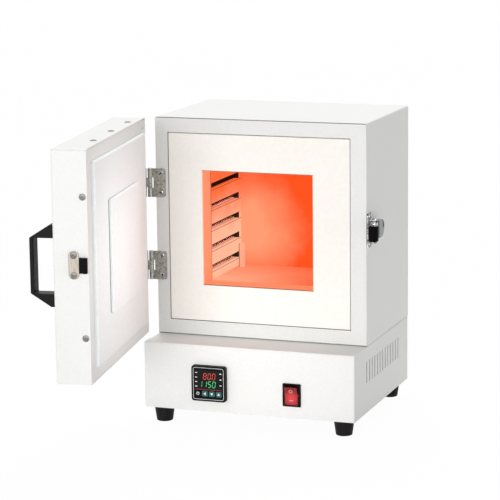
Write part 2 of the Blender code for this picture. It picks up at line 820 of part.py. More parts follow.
# Chamber boards: hearth, roof, back and the two slotted walls between them
lining_front = FRONT_BOARD_THICK + FIT
lining_left = CHAMBER_LEFT - WALL_THICK
lining_right = CHAMBER_RIGHT + WALL_THICK
lining_low = (lining_left, lining_front, HEARTH_TOP - HEARTH_THICK)
lining_high = (lining_right, LINING_BACK, ROOF_UNDERSIDE + ROOF_THICK)
hearth_board = box(
    "hearth_board",
    lining_low,
    (lining_right, CHAMBER_BACK_Y - FIT, HEARTH_TOP),
    kiln,
    HOT_BOARD,
)
roof_board = box(
    "roof_board",
    (lining_left, lining_front, ROOF_UNDERSIDE),
    (lining_right, CHAMBER_BACK_Y - FIT, lining_high[2]),
    kiln,
    HOT_BOARD,
)
box(
    "back_board",
    (lining_left, CHAMBER_BACK_Y, lining_low[2]),
    lining_high,
    kiln,
    HOT_BOARD,
)

slot_floors = [HEARTH_TOP + LOWEST_SLOT_ABOVE_HEARTH + i * SLOT_PITCH for i in range(SLOT_COUNT)]
slots_low = slot_floors[0]
slots_high = slot_floors[-1] + SLOT_HEIGHT
link_front = SLOT_START_Y + LINK_CHANNEL_WIDTH / 2
link_back = SLOT_END_Y - LINK_CHANNEL_WIDTH / 2
coil_lift = FIT + COIL_DIAMETER / 2
tail_top = slot_floors[0] + coil_lift - COIL_DIAMETER / 2 - FIT
tail_bottom = BAY_ROOF - TAIL_HANG
link_level = ROOF_UNDERSIDE + ROOF_THICK + FIT + TAIL_DIAMETER / 2
wall_inner = {"left": CHAMBER_LEFT, "right": CHAMBER_RIGHT}
outward = {"left": -1.0, "right": 1.0}
link_x = {}
for hand, inner in wall_inner.items():
    sign = outward[hand]
    outer = inner + sign * WALL_THICK
    wall = box(
        f"wall_board_{hand}",
        (min(inner, outer), lining_front, HEARTH_TOP + FIT),
        (max(inner, outer), CHAMBER_BACK_Y - FIT, ROOF_UNDERSIDE - FIT),
        kiln,
        HOT_BOARD,
    )
    past_inner = inner - sign * WALL_THICK
    past_outer = outer + sign * WALL_THICK
    for index, floor in enumerate(slot_floors):
        cut(
            wall,
            box(
                f"slot_{hand}_{index}",
                (min(past_inner, past_outer), SLOT_START_Y, floor),
                (max(past_inner, past_outer), SLOT_END_Y, floor + SLOT_HEIGHT),
                kiln,
            ),
        )
    channel_floor = outer - sign * LINK_CHANNEL_DEPTH
    ends = {
        "front": (SLOT_START_Y, slots_low, ROOF_UNDERSIDE + WALL_THICK),
        "back": (SLOT_END_Y - LINK_CHANNEL_WIDTH, HEARTH_TOP - WALL_THICK, slots_high),
    }
    for end, (channel_y, channel_low, channel_high) in ends.items():
        cut(
            wall,
            box(
                f"link_channel_{hand}_{end}",
                (min(channel_floor, past_outer), channel_y, channel_low),
                (max(channel_floor, past_outer), channel_y + LINK_CHANNEL_WIDTH, channel_high),
                kiln,
            ),
        )
    run_x = inner + sign * COIL_SETBACK
    link_x[hand] = outer - sign * LINK_CHANNEL_DEPTH / 2
    path = [(link_x[hand], link_back, slot_floors[0] + coil_lift)]
    for index, floor in enumerate(slot_floors):
        level = floor + coil_lift
        near, far = (link_back, link_front) if index % 2 == 0 else (link_front, link_back)
        if index:
            path.append((link_x[hand], near, level))
        path.append((run_x, near, level))
        path.append((run_x, far, level))
        path.append((link_x[hand], far, level))
    wire(f"heating_coil_{hand}", path, COIL_DIAMETER, kiln, HEATING_ALLOY)

# Link over the roof between the two coils, and the tails that feed them from the base
link_foot = slot_floors[-1] + coil_lift + COIL_DIAMETER / 2 + FIT
wire(
    "coil_link",
    [
        (link_x["left"], link_front, link_foot),
        (link_x["left"], link_front, link_level),
        (link_x["right"], link_front, link_level),
        (link_x["right"], link_front, link_foot),
    ],
    TAIL_DIAMETER,
    kiln,
    HEATING_ALLOY,
)
link_hole = TAIL_DIAMETER / 2 + FIT
for hand, x in link_x.items():
    cut(
        roof_board,
        rod(f"link_hole_{hand}", (x, link_front, link_level), "Z", 4 * ROOF_THICK, link_hole, kiln),
    )
    rod(
        f"coil_tail_{hand}",
        (x, link_back, (tail_top + tail_bottom) / 2),
        "Z",
        tail_top - tail_bottom,
        TAIL_DIAMETER / 2,
        kiln,
        HEATING_ALLOY,
    )
    terminal = box(
        f"terminal_block_{hand}",
        (x - TERMINAL_SIZE[0] / 2, link_back - TERMINAL_SIZE[1] / 2, BAY_ROOF - TERMINAL_SIZE[2]),
        (x + TERMINAL_SIZE[0] / 2, link_back + TERMINAL_SIZE[1] / 2, BAY_ROOF),
        kiln,
        WHITE_CERAMIC,
    )
    cut(
        terminal,
        rod(f"terminal_hole_{hand}", (x, link_back, BAY_ROOF), "Z", BASE_HEIGHT, link_hole, kiln),
    )

# Thermocouple: ceramic sheath up through the hearth, with its head hung under the base's top
sheath_radius = SHEATH_DIAMETER / 2
sheath_x = CHAMBER_LEFT + SHEATH_OFF_WALL + sheath_radius
sheath_y = CHAMBER_BACK_Y - SHEATH_OFF_BACK - sheath_radius
sheath_top = HEARTH_TOP + SHEATH_RISE
sheath_bottom = BAY_ROOF - SHEATH_HANG
rod(
    "thermocouple_sheath",
    (sheath_x, sheath_y, (sheath_top + sheath_bottom) / 2),
    "Z",
    sheath_top - sheath_bottom,
    sheath_radius,
    kiln,
    WHITE_CERAMIC,
)
head_width, head_length, head_height = SHEATH_HEAD_SIZE
thermocouple_head = box(
    "thermocouple_head",
    (sheath_x - head_width / 2, sheath_y - head_length / 2, BAY_ROOF - head_height),
    (sheath_x + head_width / 2, sheath_y + head_length / 2, BAY_ROOF),
    kiln,
    WHITE_CERAMIC,
)
sheath_socket = sheath_bottom - FIT
cut(
    thermocouple_head,
    rod(
        "sheath_socket",
        (sheath_x, sheath_y, sheath_socket + BASE_HEIGHT / 2),
        "Z",
        BASE_HEIGHT,
        sheath_radius + FIT,
        kiln,
    ),
)

# Fibre blanket: a wrap round the boards and a slab behind them
wrap_low = (-INNER_SIDE + FIT, shell_front, CASING_FLOOR + SHEET + FIT)
wrap_high = (INNER_SIDE - FIT, LINING_BACK, CASING_TOP - SHEET - FIT)
insulation_wrap = box("insulation_wrap", wrap_low, wrap_high, kiln, FIBRE_BLANKET)
pocket_low, pocket_high = grown(board_low, board_high, FIT)
pocket_low[1] -= FRONT_BOARD_THICK
cut(insulation_wrap, box("front_board_pocket", pocket_low, pocket_high, kiln))
pocket_low, pocket_high = grown(lining_low, lining_high, FIT)
pocket_low[1] -= FRONT_BOARD_THICK
pocket_high[1] += WALL_THICK
cut(insulation_wrap, box("lining_pocket", pocket_low, pocket_high, kiln))
groove = TAIL_DIAMETER + 2 * FIT
cut(
    insulation_wrap,
    box(
        "link_groove",
        (link_x["left"] - groove, link_front - groove / 2, lining_high[2] - FIT),
        (link_x["right"] + groove, link_front + groove / 2, lining_high[2] + groove),
        kiln,
    ),
)
box(
    "insulation_back",
    (wrap_low[0], LINING_BACK + FIT, wrap_low[2]),
    (wrap_high[0], shell_back, wrap_high[2]),
    kiln,
    FIBRE_BLANKET,
)

# Ways through the hearth, the wrap and both steel floors for the tails and the sheath
ways_down = {f"tail_{hand}": (x, link_back, link_hole) for hand, x in link_x.items()}
ways_down["sheath"] = (sheath_x, sheath_y, sheath_radius + FIT)
way_top = HEARTH_TOP + WALL_THICK
way_bottom = BAY_ROOF - SHEET
for way, (x, y, radius) in ways_down.items():
    middle = (x, y, (way_top + way_bottom) / 2)
    drill = rod(f"way_{way}", middle, "Z", way_top - way_bottom, radius, kiln)
    for piece in (hearth_board, insulation_wrap, floor_panel, base_case):
        cut(piece, drill)

# Door: outer pan, inner frame, blanket, board and the plug that enters the mouth
door = pivot("door_axis", (PIN_X, PIN_Y, 0.0), kiln, turn=(0.0, 0.0, -DOOR_OPEN))
door_pan = box(
    "door_pan",
    (DOOR_LEFT, DOOR_OUTSIDE, DOOR_BOTTOM),
    (DOOR_RIGHT, DOOR_FACE, DOOR_TOP),
    door,
    WHITE_PAINT,
    along="XYZ",
    radius=FOLD_RADIUS,
    open_side="+Y",
)
hollow_low = (DOOR_LEFT + DOOR_SHEET, DOOR_OUTSIDE + DOOR_SHEET, DOOR_BOTTOM + DOOR_SHEET)
hollow_high = (DOOR_RIGHT - DOOR_SHEET, DOOR_FACE + DOOR_THICK, DOOR_TOP - DOOR_SHEET)
cut(door_pan, box("door_hollow", hollow_low, hollow_high, door))
door_frame = box(
    "door_frame",
    (hollow_low[0] + FIT, DOOR_FACE - DOOR_SHEET, hollow_low[2] + FIT),
    (hollow_high[0] - FIT, DOOR_FACE, hollow_high[2] - FIT),
    door,
    WHITE_PAINT,
)
door_board_low = (
    DOOR_LEFT + DOOR_SIDE_BORDER,
    DOOR_FACE - DOOR_BOARD_BURIED,
    DOOR_BOTTOM + DOOR_END_BORDER,
)
door_board_high = (DOOR_RIGHT - DOOR_SIDE_BORDER, -SEAL_GAP, DOOR_TOP - DOOR_END_BORDER)
box("door_board", door_board_low, door_board_high, door, CERAMIC_BOARD)
cut(door_frame, box("door_frame_opening", *grown(door_board_low, door_board_high, FIT), door))
plug_back = -SEAL_GAP + FIT
box(
    "door_plug",
    (CHAMBER_SHIFT - PLUG_SIDE / 2, plug_back, CASING_MIDDLE - PLUG_SIDE / 2),
    (CHAMBER_SHIFT + PLUG_SIDE / 2, plug_back + PLUG_RAISE, CASING_MIDDLE + PLUG_SIDE / 2),
    door,
    CERAMIC_BOARD,
)
box(
    "door_insulation",
    [v + FIT for v in hollow_low],
    (hollow_high[0] - FIT, door_board_low[1] - FIT, hollow_high[2] - FIT),
    door,
    FIBRE_BLANKET,
)

# Handle: a black bow with sloped shoulders, standing on the door's outer face
handle_back = DOOR_OUTSIDE - FIT
handle_z = (DOOR_BOTTOM + DOOR_TOP) / 2
half_handle = HANDLE_HEIGHT / 2
grip_half = half_handle - HANDLE_SHOULDER
handle_profile = [
    (handle_back, handle_z - half_handle),
    (handle_back, handle_z - half_handle + HANDLE_LEG),
    (handle_back - HANDLE_REACH + GRIP_THICK, handle_z - half_handle + HANDLE_LEG),
    (handle_back - HANDLE_REACH + GRIP_THICK, handle_z + half_handle - HANDLE_LEG),
    (handle_back, handle_z + half_handle - HANDLE_LEG),
    (handle_back, handle_z + half_handle),
    (handle_back - HANDLE_FLAT, handle_z + half_handle),
    (handle_back - HANDLE_REACH, handle_z + grip_half),
    (handle_back - HANDLE_REACH, handle_z - grip_half),
    (handle_back - HANDLE_FLAT, handle_z - half_handle),
]
handle_right = DOOR_RIGHT - HANDLE_OFF_EDGE
door_handle = outline(
    "door_handle", handle_profile, "X", handle_right - HANDLE_WIDTH, handle_right, door, BLACK_PLASTIC
)
soften(door_handle, HANDLE_EDGE)

# Hinges: a leaf on the casing's face, a leaf on the door's edge and a pin through their knuckles
knuckle_length = LEAF_HEIGHT / 3
bore_radius = PIN_RADIUS + PIN_CLEARANCE
body_notch = KNUCKLE_RADIUS + BODY_LEAF_NOTCH
door_notch = KNUCKLE_RADIUS + DOOR_LEAF_NOTCH
half_leaf = LEAF_HEIGHT / 2
hinge_levels = {"upper": CASING_TOP - HINGE_BELOW_TOP, "lower": BASE_TOP + HINGE_ABOVE_BASE}
for level, hinge_z in hinge_levels.items():
    pin_at = (PIN_X, PIN_Y, hinge_z)
    body_leaf = box(
        f"hinge_leaf_body_{level}",
        (PIN_X, PIN_Y - LEAF_THICK / 2, hinge_z - half_leaf),
        (PIN_X + LEAF_REACH, PIN_Y + LEAF_THICK / 2, hinge_z + half_leaf),
        kiln,
        ZINC_STEEL,
        along="Y",
        radius=LEAF_CORNER,
    )
    body_barrel = rod(f"barrel_body_{level}", pin_at, "Z", LEAF_HEIGHT, KNUCKLE_RADIUS, kiln)
    middle_gap = box(
        f"middle_gap_{level}",
        (PIN_X - body_notch, PIN_Y - body_notch, hinge_z - knuckle_length / 2 - KNUCKLE_GAP),
        (PIN_X + body_notch, PIN_Y + body_notch, hinge_z + knuckle_length / 2 + KNUCKLE_GAP),
        kiln,
    )
    body_bore = rod(f"bore_body_{level}", pin_at, "Z", 2 * LEAF_HEIGHT, bore_radius, kiln)
    join(body_leaf, body_barrel)
    cut(body_leaf, middle_gap, body_bore)
    rod(f"hinge_pin_{level}", pin_at, "Z", LEAF_HEIGHT, PIN_RADIUS, kiln, ZINC_STEEL)
    door_leaf = box(
        f"hinge_leaf_door_{level}",
        (DOOR_LEFT - FIT - LEAF_THICK, PIN_Y - LEAF_REACH, hinge_z - half_leaf),
        (DOOR_LEFT - FIT, PIN_Y, hinge_z + half_leaf),
        door,
        ZINC_STEEL,
        along="X",
        radius=LEAF_CORNER,
    )
    door_barrel = rod(f"barrel_door_{level}", pin_at, "Z", knuckle_length, KNUCKLE_RADIUS, door)
    door_bore = rod(f"bore_door_{level}", pin_at, "Z", 2 * LEAF_HEIGHT, bore_radius, door)
    for end, sign in (("top", 1.0), ("bottom", -1.0)):
        near = hinge_z + sign * knuckle_length / 2
        far = hinge_z + sign * LEAF_HEIGHT
        cut(
            door_leaf,
            box(
                f"end_gap_{level}_{end}",
                (PIN_X - door_notch, PIN_Y - door_notch, min(near, far)),
                (PIN_X + door_notch, PIN_Y + door_notch, max(near, far)),
                door,
            ),
        )
    join(door_leaf, door_barrel)
    cut(door_leaf, door_bore)

# Strike on the door's free edge: a plate and the ridged block beside it
strike_side = DOOR_RIGHT + FIT
strike_z = LATCH_HEIGHT - STRIKE_DROP
plate_y = DOOR_FACE - STRIKE_PLATE_FROM_FACE
box(
    "strike_plate",
    (strike_side, plate_y - STRIKE_PLATE_WIDTH / 2, strike_z - STRIKE_PLATE_HEIGHT / 2),
    (
        strike_side + STRIKE_PLATE_THICK,
        plate_y + STRIKE_PLATE_WIDTH / 2,
        strike_z + STRIKE_PLATE_HEIGHT / 2,
    ),
    door,
    ZINC_STEEL,
    along="X",
    radius=STRIKE_PLATE_CORNER,
    steps=4,
)
roller_at = (SIDE + ROLLER_OFF_CASING, ROLLER_Y, LATCH_HEIGHT)
ridge_tip = roller_at[0] - ROLLER_RADIUS - STRIKE_CLEARANCE
strike_top = strike_side + STRIKE_BASE
strike_in = DOOR_FACE - STRIKE_NEAR
strike_out = DOOR_FACE - STRIKE_FAR
strike_profile = [
    (strike_side, strike_in),
    (strike_side, strike_out),
    (strike_top, strike_out),
    (strike_top, strike_in - 2 * STRIKE_RIDGE_BACK),
    (ridge_tip, strike_in - STRIKE_RIDGE_BACK - STRIKE_RIDGE_WIDTH),
    (ridge_tip, strike_in - STRIKE_RIDGE_BACK),
    (strike_top, strike_in),
]
outline(
    "strike_block",
    strike_profile,
    "Z",
    strike_z - STRIKE_HEIGHT / 2,
    strike_z + STRIKE_HEIGHT / 2,
    door,
    BLACK_PLASTIC,
)

# Roller catch: plate with a boss and two ears on the casing's side, sprung yoke, roller in the yoke
plate_in = SIDE + FIT
plate_out = plate_in + LATCH_PLATE_THICK
half_lobe = LATCH_LOBE_HEIGHT / 2
plate_back = LATCH_PLATE_FRONT + LATCH_PLATE_LENGTH
lobe = arc((plate_back - half_lobe, LATCH_HEIGHT), half_lobe, -90, 90, 10)
tab_back = LATCH_PLATE_FRONT + LATCH_TAB_LENGTH
half_tab = LATCH_TAB_HEIGHT / 2
latch_plate = outline(
    "latch_plate",
    [
        (LATCH_PLATE_FRONT, LATCH_HEIGHT - half_tab),
        (tab_back, LATCH_HEIGHT - half_tab),
        (tab_back, LATCH_HEIGHT - half_lobe),
        *lobe,
        (tab_back, LATCH_HEIGHT + half_lobe),
        (tab_back, LATCH_HEIGHT + half_tab),
        (LATCH_PLATE_FRONT, LATCH_HEIGHT + half_tab),
    ],
    "X",
    plate_in,
    plate_out,
    kiln,
    CHROME,
)
boss = [
    (LATCH_BOSS_FRONT, LATCH_HEIGHT - half_lobe),
    *lobe,
    (LATCH_BOSS_FRONT, LATCH_HEIGHT + half_lobe),
]
join(latch_plate, outline("latch_boss", boss, "X", plate_in + FIT, SIDE + LATCH_BOSS_RISE, kiln))
pivot_at = (SIDE + PIVOT_OFF_CASING, PIVOT_Y, LATCH_HEIGHT)
yoke_inside = ROLLER_LENGTH / 2 + FIT
yoke_outside = yoke_inside + YOKE_SHEET
ear_low = yoke_outside + FIT
ear_high = ear_low + LATCH_PLATE_THICK
latch_arm = pivot("latch_arm_axis", pivot_at, kiln)
latch_yoke = box(
    "latch_yoke",
    (
        (pivot_at[0] + roller_at[0]) / 2 - YOKE_WEB_WIDTH / 2,
        (PIVOT_Y + ROLLER_Y) / 2,
        LATCH_HEIGHT - yoke_outside,
    ),
    (
        (pivot_at[0] + roller_at[0]) / 2 + YOKE_WEB_WIDTH / 2,
        (PIVOT_Y + ROLLER_Y) / 2 + YOKE_SHEET,
        LATCH_HEIGHT + yoke_outside,
    ),
    latch_arm,
    CHROME,
)
lean = math.degrees(math.atan2(PIVOT_Y - ROLLER_Y, pivot_at[0] - roller_at[0]))
cheek = arc(roller_at, YOKE_RADIUS, lean + 90, lean + 270, 8)
cheek += arc(pivot_at, YOKE_RADIUS, lean - 90, lean + 90, 8)
pin_length = 2 * (ear_high + FIT)
pin_hole = PIVOT_RADIUS + PIN_CLEARANCE
for end, sign in (("top", 1.0), ("bottom", -1.0)):
    cheek_low = min(sign * yoke_inside, sign * yoke_outside)
    cheek_high = max(sign * yoke_inside, sign * yoke_outside)
    join(
        latch_yoke,
        outline(
            f"cheek_{end}",
            cheek,
            "Z",
            LATCH_HEIGHT + cheek_low,
            LATCH_HEIGHT + cheek_high,
            latch_arm,
        ),
    )
    join(
        latch_plate,
        box(
            f"ear_{end}",
            (
                plate_in + FIT,
                PIVOT_Y - EAR_WIDTH / 2,
                LATCH_HEIGHT + min(sign * ear_low, sign * ear_high),
            ),
            (
                pivot_at[0] + EAR_WIDTH / 2,
                PIVOT_Y + EAR_WIDTH / 2,
                LATCH_HEIGHT + max(sign * ear_low, sign * ear_high),
            ),
            kiln,
            along="Z",
            radius=EAR_CORNER,
        ),
    )
cut(latch_yoke, rod("yoke_pivot_hole", pivot_at, "Z", 2 * pin_length, pin_hole, latch_arm))
cut(latch_plate, rod("ear_hole", pivot_at, "Z", 2 * pin_length, pin_hole, kiln))
rod("latch_pivot_pin", pivot_at, "Z", pin_length, PIVOT_RADIUS, kiln, CHROME)
roller_hole = ROLLER_PIN_RADIUS + PIN_CLEARANCE
roller_pin_length = 2 * (yoke_outside + FIT)
cut(latch_yoke, rod("yoke_roller_hole", roller_at, "Z", pin_length, roller_hole, latch_arm))
rod("roller_pin", roller_at, "Z", roller_pin_length, ROLLER_PIN_RADIUS, latch_arm, CHROME)
roller_axis = pivot("latch_roller_axis", roller_at, latch_arm)
latch_roller = rod(
    "latch_roller", roller_at, "Z", ROLLER_LENGTH, ROLLER_RADIUS, roller_axis, BLACK_RUBBER
)
cut(latch_roller, rod("roller_bore", roller_at, "Z", 2 * ROLLER_LENGTH, roller_hole, roller_axis))
spring_steps = 10 * SPRING_TURNS
spring_path = []
for step in range(spring_steps + 1):
    turn = 2 * math.pi * SPRING_TURNS * step / spring_steps
    spring_path.append(
        (
            pivot_at[0] + SPRING_RADIUS * math.cos(turn),
            pivot_at[1] + SPRING_RADIUS * math.sin(turn),
            LATCH_HEIGHT + SPRING_HEIGHT * (step / spring_steps - 0.5),
        )
    )
wire("latch_spring", spring_path, SPRING_WIRE, kiln, ZINC_STEEL)


def centre_plan(root):
    """Slide the kiln so that the origin is under the middle of its outline as it stands."""
    bpy.context.view_layer.update()
    graph = bpy.context.evaluated_depsgraph_get()
    low = Vector((math.inf, math.inf))
    high = Vector((-math.inf, -math.inf))
    for obj in PARTS.objects:
        if obj.type == "EMPTY":
            continue
        evaluated = obj.evaluated_get(graph)
        mesh = evaluated.to_mesh()
        for vertex in mesh.vertices:
            at = evaluated.matrix_world @ vertex.co
            for axis in range(2):
                low[axis] = min(low[axis], at[axis])
                high[axis] = max(high[axis], at[axis])
        evaluated.to_mesh_clear()
    middle = (low + high) / 2
    root.location = (-middle.x, -middle.y, 0.0)


centre_plan(kiln)
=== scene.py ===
"""Looks of a small front-loading electric kiln, hot and with its door open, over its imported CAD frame."""

import json
import math

import bmesh
import bpy
from mathutils import Matrix, Vector

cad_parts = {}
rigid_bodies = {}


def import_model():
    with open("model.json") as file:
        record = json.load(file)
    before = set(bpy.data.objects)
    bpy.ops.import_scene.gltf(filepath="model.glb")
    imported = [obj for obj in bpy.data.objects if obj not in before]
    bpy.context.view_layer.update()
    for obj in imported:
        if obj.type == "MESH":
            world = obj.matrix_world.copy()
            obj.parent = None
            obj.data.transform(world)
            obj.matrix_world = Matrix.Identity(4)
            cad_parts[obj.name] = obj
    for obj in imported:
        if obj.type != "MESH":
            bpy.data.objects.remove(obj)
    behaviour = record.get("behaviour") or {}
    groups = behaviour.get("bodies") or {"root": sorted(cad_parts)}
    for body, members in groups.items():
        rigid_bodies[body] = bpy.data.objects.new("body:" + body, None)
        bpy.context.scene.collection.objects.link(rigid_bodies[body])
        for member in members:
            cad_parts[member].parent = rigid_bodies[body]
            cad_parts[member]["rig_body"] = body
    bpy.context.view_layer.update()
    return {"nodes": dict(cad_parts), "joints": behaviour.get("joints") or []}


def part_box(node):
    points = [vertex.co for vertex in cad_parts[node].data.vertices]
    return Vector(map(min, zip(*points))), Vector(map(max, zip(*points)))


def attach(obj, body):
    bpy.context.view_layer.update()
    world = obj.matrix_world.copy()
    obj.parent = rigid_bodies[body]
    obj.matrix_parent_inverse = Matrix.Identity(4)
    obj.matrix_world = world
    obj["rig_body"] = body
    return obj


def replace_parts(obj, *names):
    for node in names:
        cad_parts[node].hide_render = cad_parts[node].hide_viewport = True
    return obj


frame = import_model()
bpy.context.scene.view_settings.view_transform = "Standard"


# Base box
# A tray of 1.2 mm sheet steel folded from one blank, with cooling slots punched in both sides. A plate
# screwed on from below closes it. Powder coated white before assembly.
def linear(colour):
    """The linear RGBA that sockets take, from an sRGB hex value."""
    channels = [int(colour[i : i + 2], 16) / 255 for i in (1, 3, 5)]
    return [*(c / 12.92 if c <= 0.04045 else ((c + 0.055) / 1.055) ** 2.4 for c in channels), 1.0]


def add(tree, kind, inputs=None, **settings):
    """A node with its settings; each input takes a value or another node's output."""
    made = tree.nodes.new(kind)
    for name, value in settings.items():
        setattr(made, name, value)
    for name, value in (inputs or {}).items():
        if isinstance(value, bpy.types.NodeSocket):
            tree.links.new(value, made.inputs[name])
        else:
            made.inputs[name].default_value = value
    return made


def ranged(tree, value, source, target):
    """A socket that runs through the target range while the value runs through the source range."""
    ends = {"From Min": source[0], "From Max": source[1], "To Min": target[0], "To Max": target[1]}
    return add(tree, "ShaderNodeMapRange", {"Value": value, **ends}).outputs["Result"]


def surface(
    name, dark, light, grain_mm, gloss, relief_mm, metallic=0.0, stretch=(1.0, 1.0, 1.0), shine=0.5
):
    """A material whose colour, roughness and relief vary together in lumps grain_mm across."""
    material = bpy.data.materials.new(name)
    material.use_nodes = True
    tree = material.node_tree
    shader = tree.nodes["Principled BSDF"]
    shader.inputs["Metallic"].default_value = metallic
    shader.inputs["Specular IOR Level"].default_value = shine
    place = add(tree, "ShaderNodeTexCoord")
    along = add(tree, "ShaderNodeMapping", {"Vector": place.outputs["Object"], "Scale": stretch})
    lumps = {"Vector": along.outputs["Vector"], "Scale": 1000 / grain_mm, "Detail": 3.0}
    noise = add(tree, "ShaderNodeTexNoise", lumps)
    ramp = add(tree, "ShaderNodeValToRGB", {"Fac": noise.outputs["Fac"]})
    hollow, crest = 0.35, 0.65
    first, last = ramp.color_ramp.elements
    first.position, first.color = hollow, linear(dark)
    last.position, last.color = crest, linear(light)
    rough = ranged(tree, noise.outputs["Fac"], (hollow, crest), gloss)
    bump = add(tree, "ShaderNodeBump", {"Height": noise.outputs["Fac"], "Distance": relief_mm / 1000})
    tree.links.new(ramp.outputs["Color"], shader.inputs["Base Color"])
    tree.links.new(rough, shader.inputs["Roughness"])
    tree.links.new(bump.outputs["Normal"], shader.inputs["Normal"])
    return material


def dress(material, slot, *nodes):
    """Gives CAD pieces that are shown as they are their finish."""
    for name in nodes:
        node = frame["nodes"][name]
        node.data.materials.clear()
        node.data.materials.append(material)


# Polyester powder coat: the ripple of the melted powder is about 2 mm across and very shallow.
powder_coat = surface("white_powder_coat", "#E8E8E6", "#ECECEA", 2.2, (0.36, 0.44), 0.0015)
dress(powder_coat, "white_paint", "base_case", "base_plate")
base_low, base_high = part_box("base_case")
middle_x = (base_low.x + base_high.x) / 2
casing_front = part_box("front_frame")[0].y


# Screws of the base plate
# Six pan-head steel screws with a cross recess, driven up into the folded lips of the tray.
def piece(name, bm, material, body, sharp=38):
    """A finished piece that rides its body: faces outwards, smooth up to that many degrees."""
    bmesh.ops.recalc_face_normals(bm, faces=bm.faces)
    mesh = bpy.data.meshes.new(name)
    bm.to_mesh(mesh)
    bm.free()
    mesh.materials.append(material)
    mesh.shade_smooth()
    mesh.set_sharp_from_angle(angle=math.radians(sharp))
    obj = bpy.data.objects.new(name, mesh)
    bpy.context.scene.collection.objects.link(obj)
    even = obj.modifiers.new("even_shading", "WEIGHTED_NORMAL")
    even.keep_sharp = True
    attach(obj, body)
    return obj


def stand(point, facing):
    """The matrix that stands a shape drawn along +Z on a point, facing that way."""
    turn = Vector(facing).to_track_quat("Z", "Y").to_matrix().to_4x4()
    return Matrix.Translation(point) @ turn


def screws(name, places, radius, height, material, body):
    """Pan heads with a cross recess, one for each seat's matrix."""
    bm = bmesh.new()
    dome = ((1.0, 0.0), (0.97, 0.55), (0.66, 1.0))
    recess = 0.6 * height
    arm, half = 0.46 * radius, 0.13 * radius
    corner = [(arm, half), (half, half), (half, arm)]
    cross = [Matrix.Rotation(turn * math.pi / 2, 2) @ Vector(p) for turn in range(4) for p in corner]
    for place in places:
        start = len(bm.verts)
        loops = []
        for share, level in dome:
            lift = Matrix.Translation((0.0, 0.0, level * height))
            made = bmesh.ops.create_circle(
                bm, cap_ends=level == 0.0, segments=20, radius=share * radius, matrix=lift
            )
            loops.append({edge for vert in made["verts"] for edge in vert.link_edges})
        mouth = bm.faces.new([bm.verts.new((*p, height)) for p in cross])
        loops.append(set(mouth.edges))
        for low, high in zip(loops, loops[1:]):
            bmesh.ops.bridge_loops(bm, edges=list(low | high))
        floor = bmesh.ops.extrude_discrete_faces(bm, faces=[mouth])["faces"][0]
        bmesh.ops.translate(bm, vec=(0.0, 0.0, -recess), verts=floor.verts)
        bm.verts.ensure_lookup_table()
        bmesh.ops.transform(bm, matrix=place, verts=bm.verts[start:])
    return piece(name, bm, material, body)


# Zinc-plated steel: pale grey with a faint uneven cloud from the bath, lumps about 3 mm.
zinc = surface("zinc_plated_steel", "#8E8D88", "#B9B7B0", 3.0, (0.26, 0.42), 0.01, metallic=1.0)
plate_places = [(x, y) for x in (-0.136, 0.136) for y in (0.02, 0.12)] + [(0.0, -0.045), (0.0, 0.19)]
plate_seats = [
    stand((middle_x + x, casing_front + y, base_low.z), (0, 0, -1)) for x, y in plate_places
]
HEAD_HEIGHT = 0.0018
screws("base_plate_screws", plate_seats, 0.0032, HEAD_HEIGHT, zinc, "kiln")


# Feet
# Four moulded rubber feet, tapered and with a rounded tread, each held by a screw down its recess.
def turned(bm, profile, place, steps=32):
    """Adds a lathe shape: (radius, height) points from axis to axis, turned about +Z and set in place."""
    lathe = bmesh.new()
    verts = [lathe.verts.new((radius, 0.0, height)) for radius, height in profile]
    edges = [lathe.edges.new(pair) for pair in zip(verts, verts[1:])]
    bmesh.ops.spin(
        lathe,
        geom=verts + edges,
        cent=(0.0, 0.0, 0.0),
        axis=(0.0, 0.0, 1.0),
        dvec=(0.0, 0.0, 0.0),
        angle=2 * math.pi,
        steps=steps,
        use_merge=True,
    )
    bmesh.ops.remove_doubles(lathe, verts=lathe.verts, dist=1e-6)
    bmesh.ops.transform(lathe, matrix=place, verts=lathe.verts)
    shape = bpy.data.meshes.new("lathe")
    lathe.to_mesh(shape)
    lathe.free()
    bm.from_mesh(shape)
    bpy.data.meshes.remove(shape)


# Moulded rubber: near black and dull, with a fine spark-eroded mould texture drawn at 1 mm.
rubber = surface("moulded_black_rubber", "#080808", "#101010", 1.0, (0.45, 0.6), 0.03, shine=0.15)
foot_profile = [(0.0, 0.0120), (0.0050, 0.0120), (0.0050, 0.0006), (0.0056, 0.0), (0.0098, 0.0)]
foot_profile += [(0.0107, 0.0004), (0.0111, 0.0014), (0.0138, 0.0204), (0.0134, 0.0213), (0.0128, 0.0217)]
foot_profile += [(0.0, 0.0217)]
screw_level = Vector((0.0, 0.0, 0.0119))
for foot in ("foot_front_left", "foot_front_right", "foot_rear_left", "foot_rear_right"):
    low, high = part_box(foot)
    seat = Vector(((low.x + high.x) / 2, (low.y + high.y) / 2, 0.0))
    bm = bmesh.new()
    turned(bm, foot_profile, Matrix.Translation(seat))
    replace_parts(piece(f"tapered_{foot}", bm, rubber, "kiln"), foot)
    held = stand(seat + screw_level, (0, 0, -1))
    screws(f"screw_{foot}", [held], 0.0038, 0.0022, zinc, "kiln")


# Casing
# A sheet wrapped round the two sides and the top, a front frame, a back panel and a floor, all powder
# coated. The back panel is held by eight small screws into the folded lips.
def position(tree):
    """The X, Y and Z sockets of a point's place on the kiln."""
    place = tree.nodes["Texture Coordinate"].outputs["Object"]
    return add(tree, "ShaderNodeSeparateXYZ", {"Vector": place}).outputs


def maths(tree, operation, *values, **settings):
    """The result socket of one operation on numbers and sockets."""
    made = add(tree, "ShaderNodeMath", dict(enumerate(values)), operation=operation, **settings)
    return made.outputs[0]


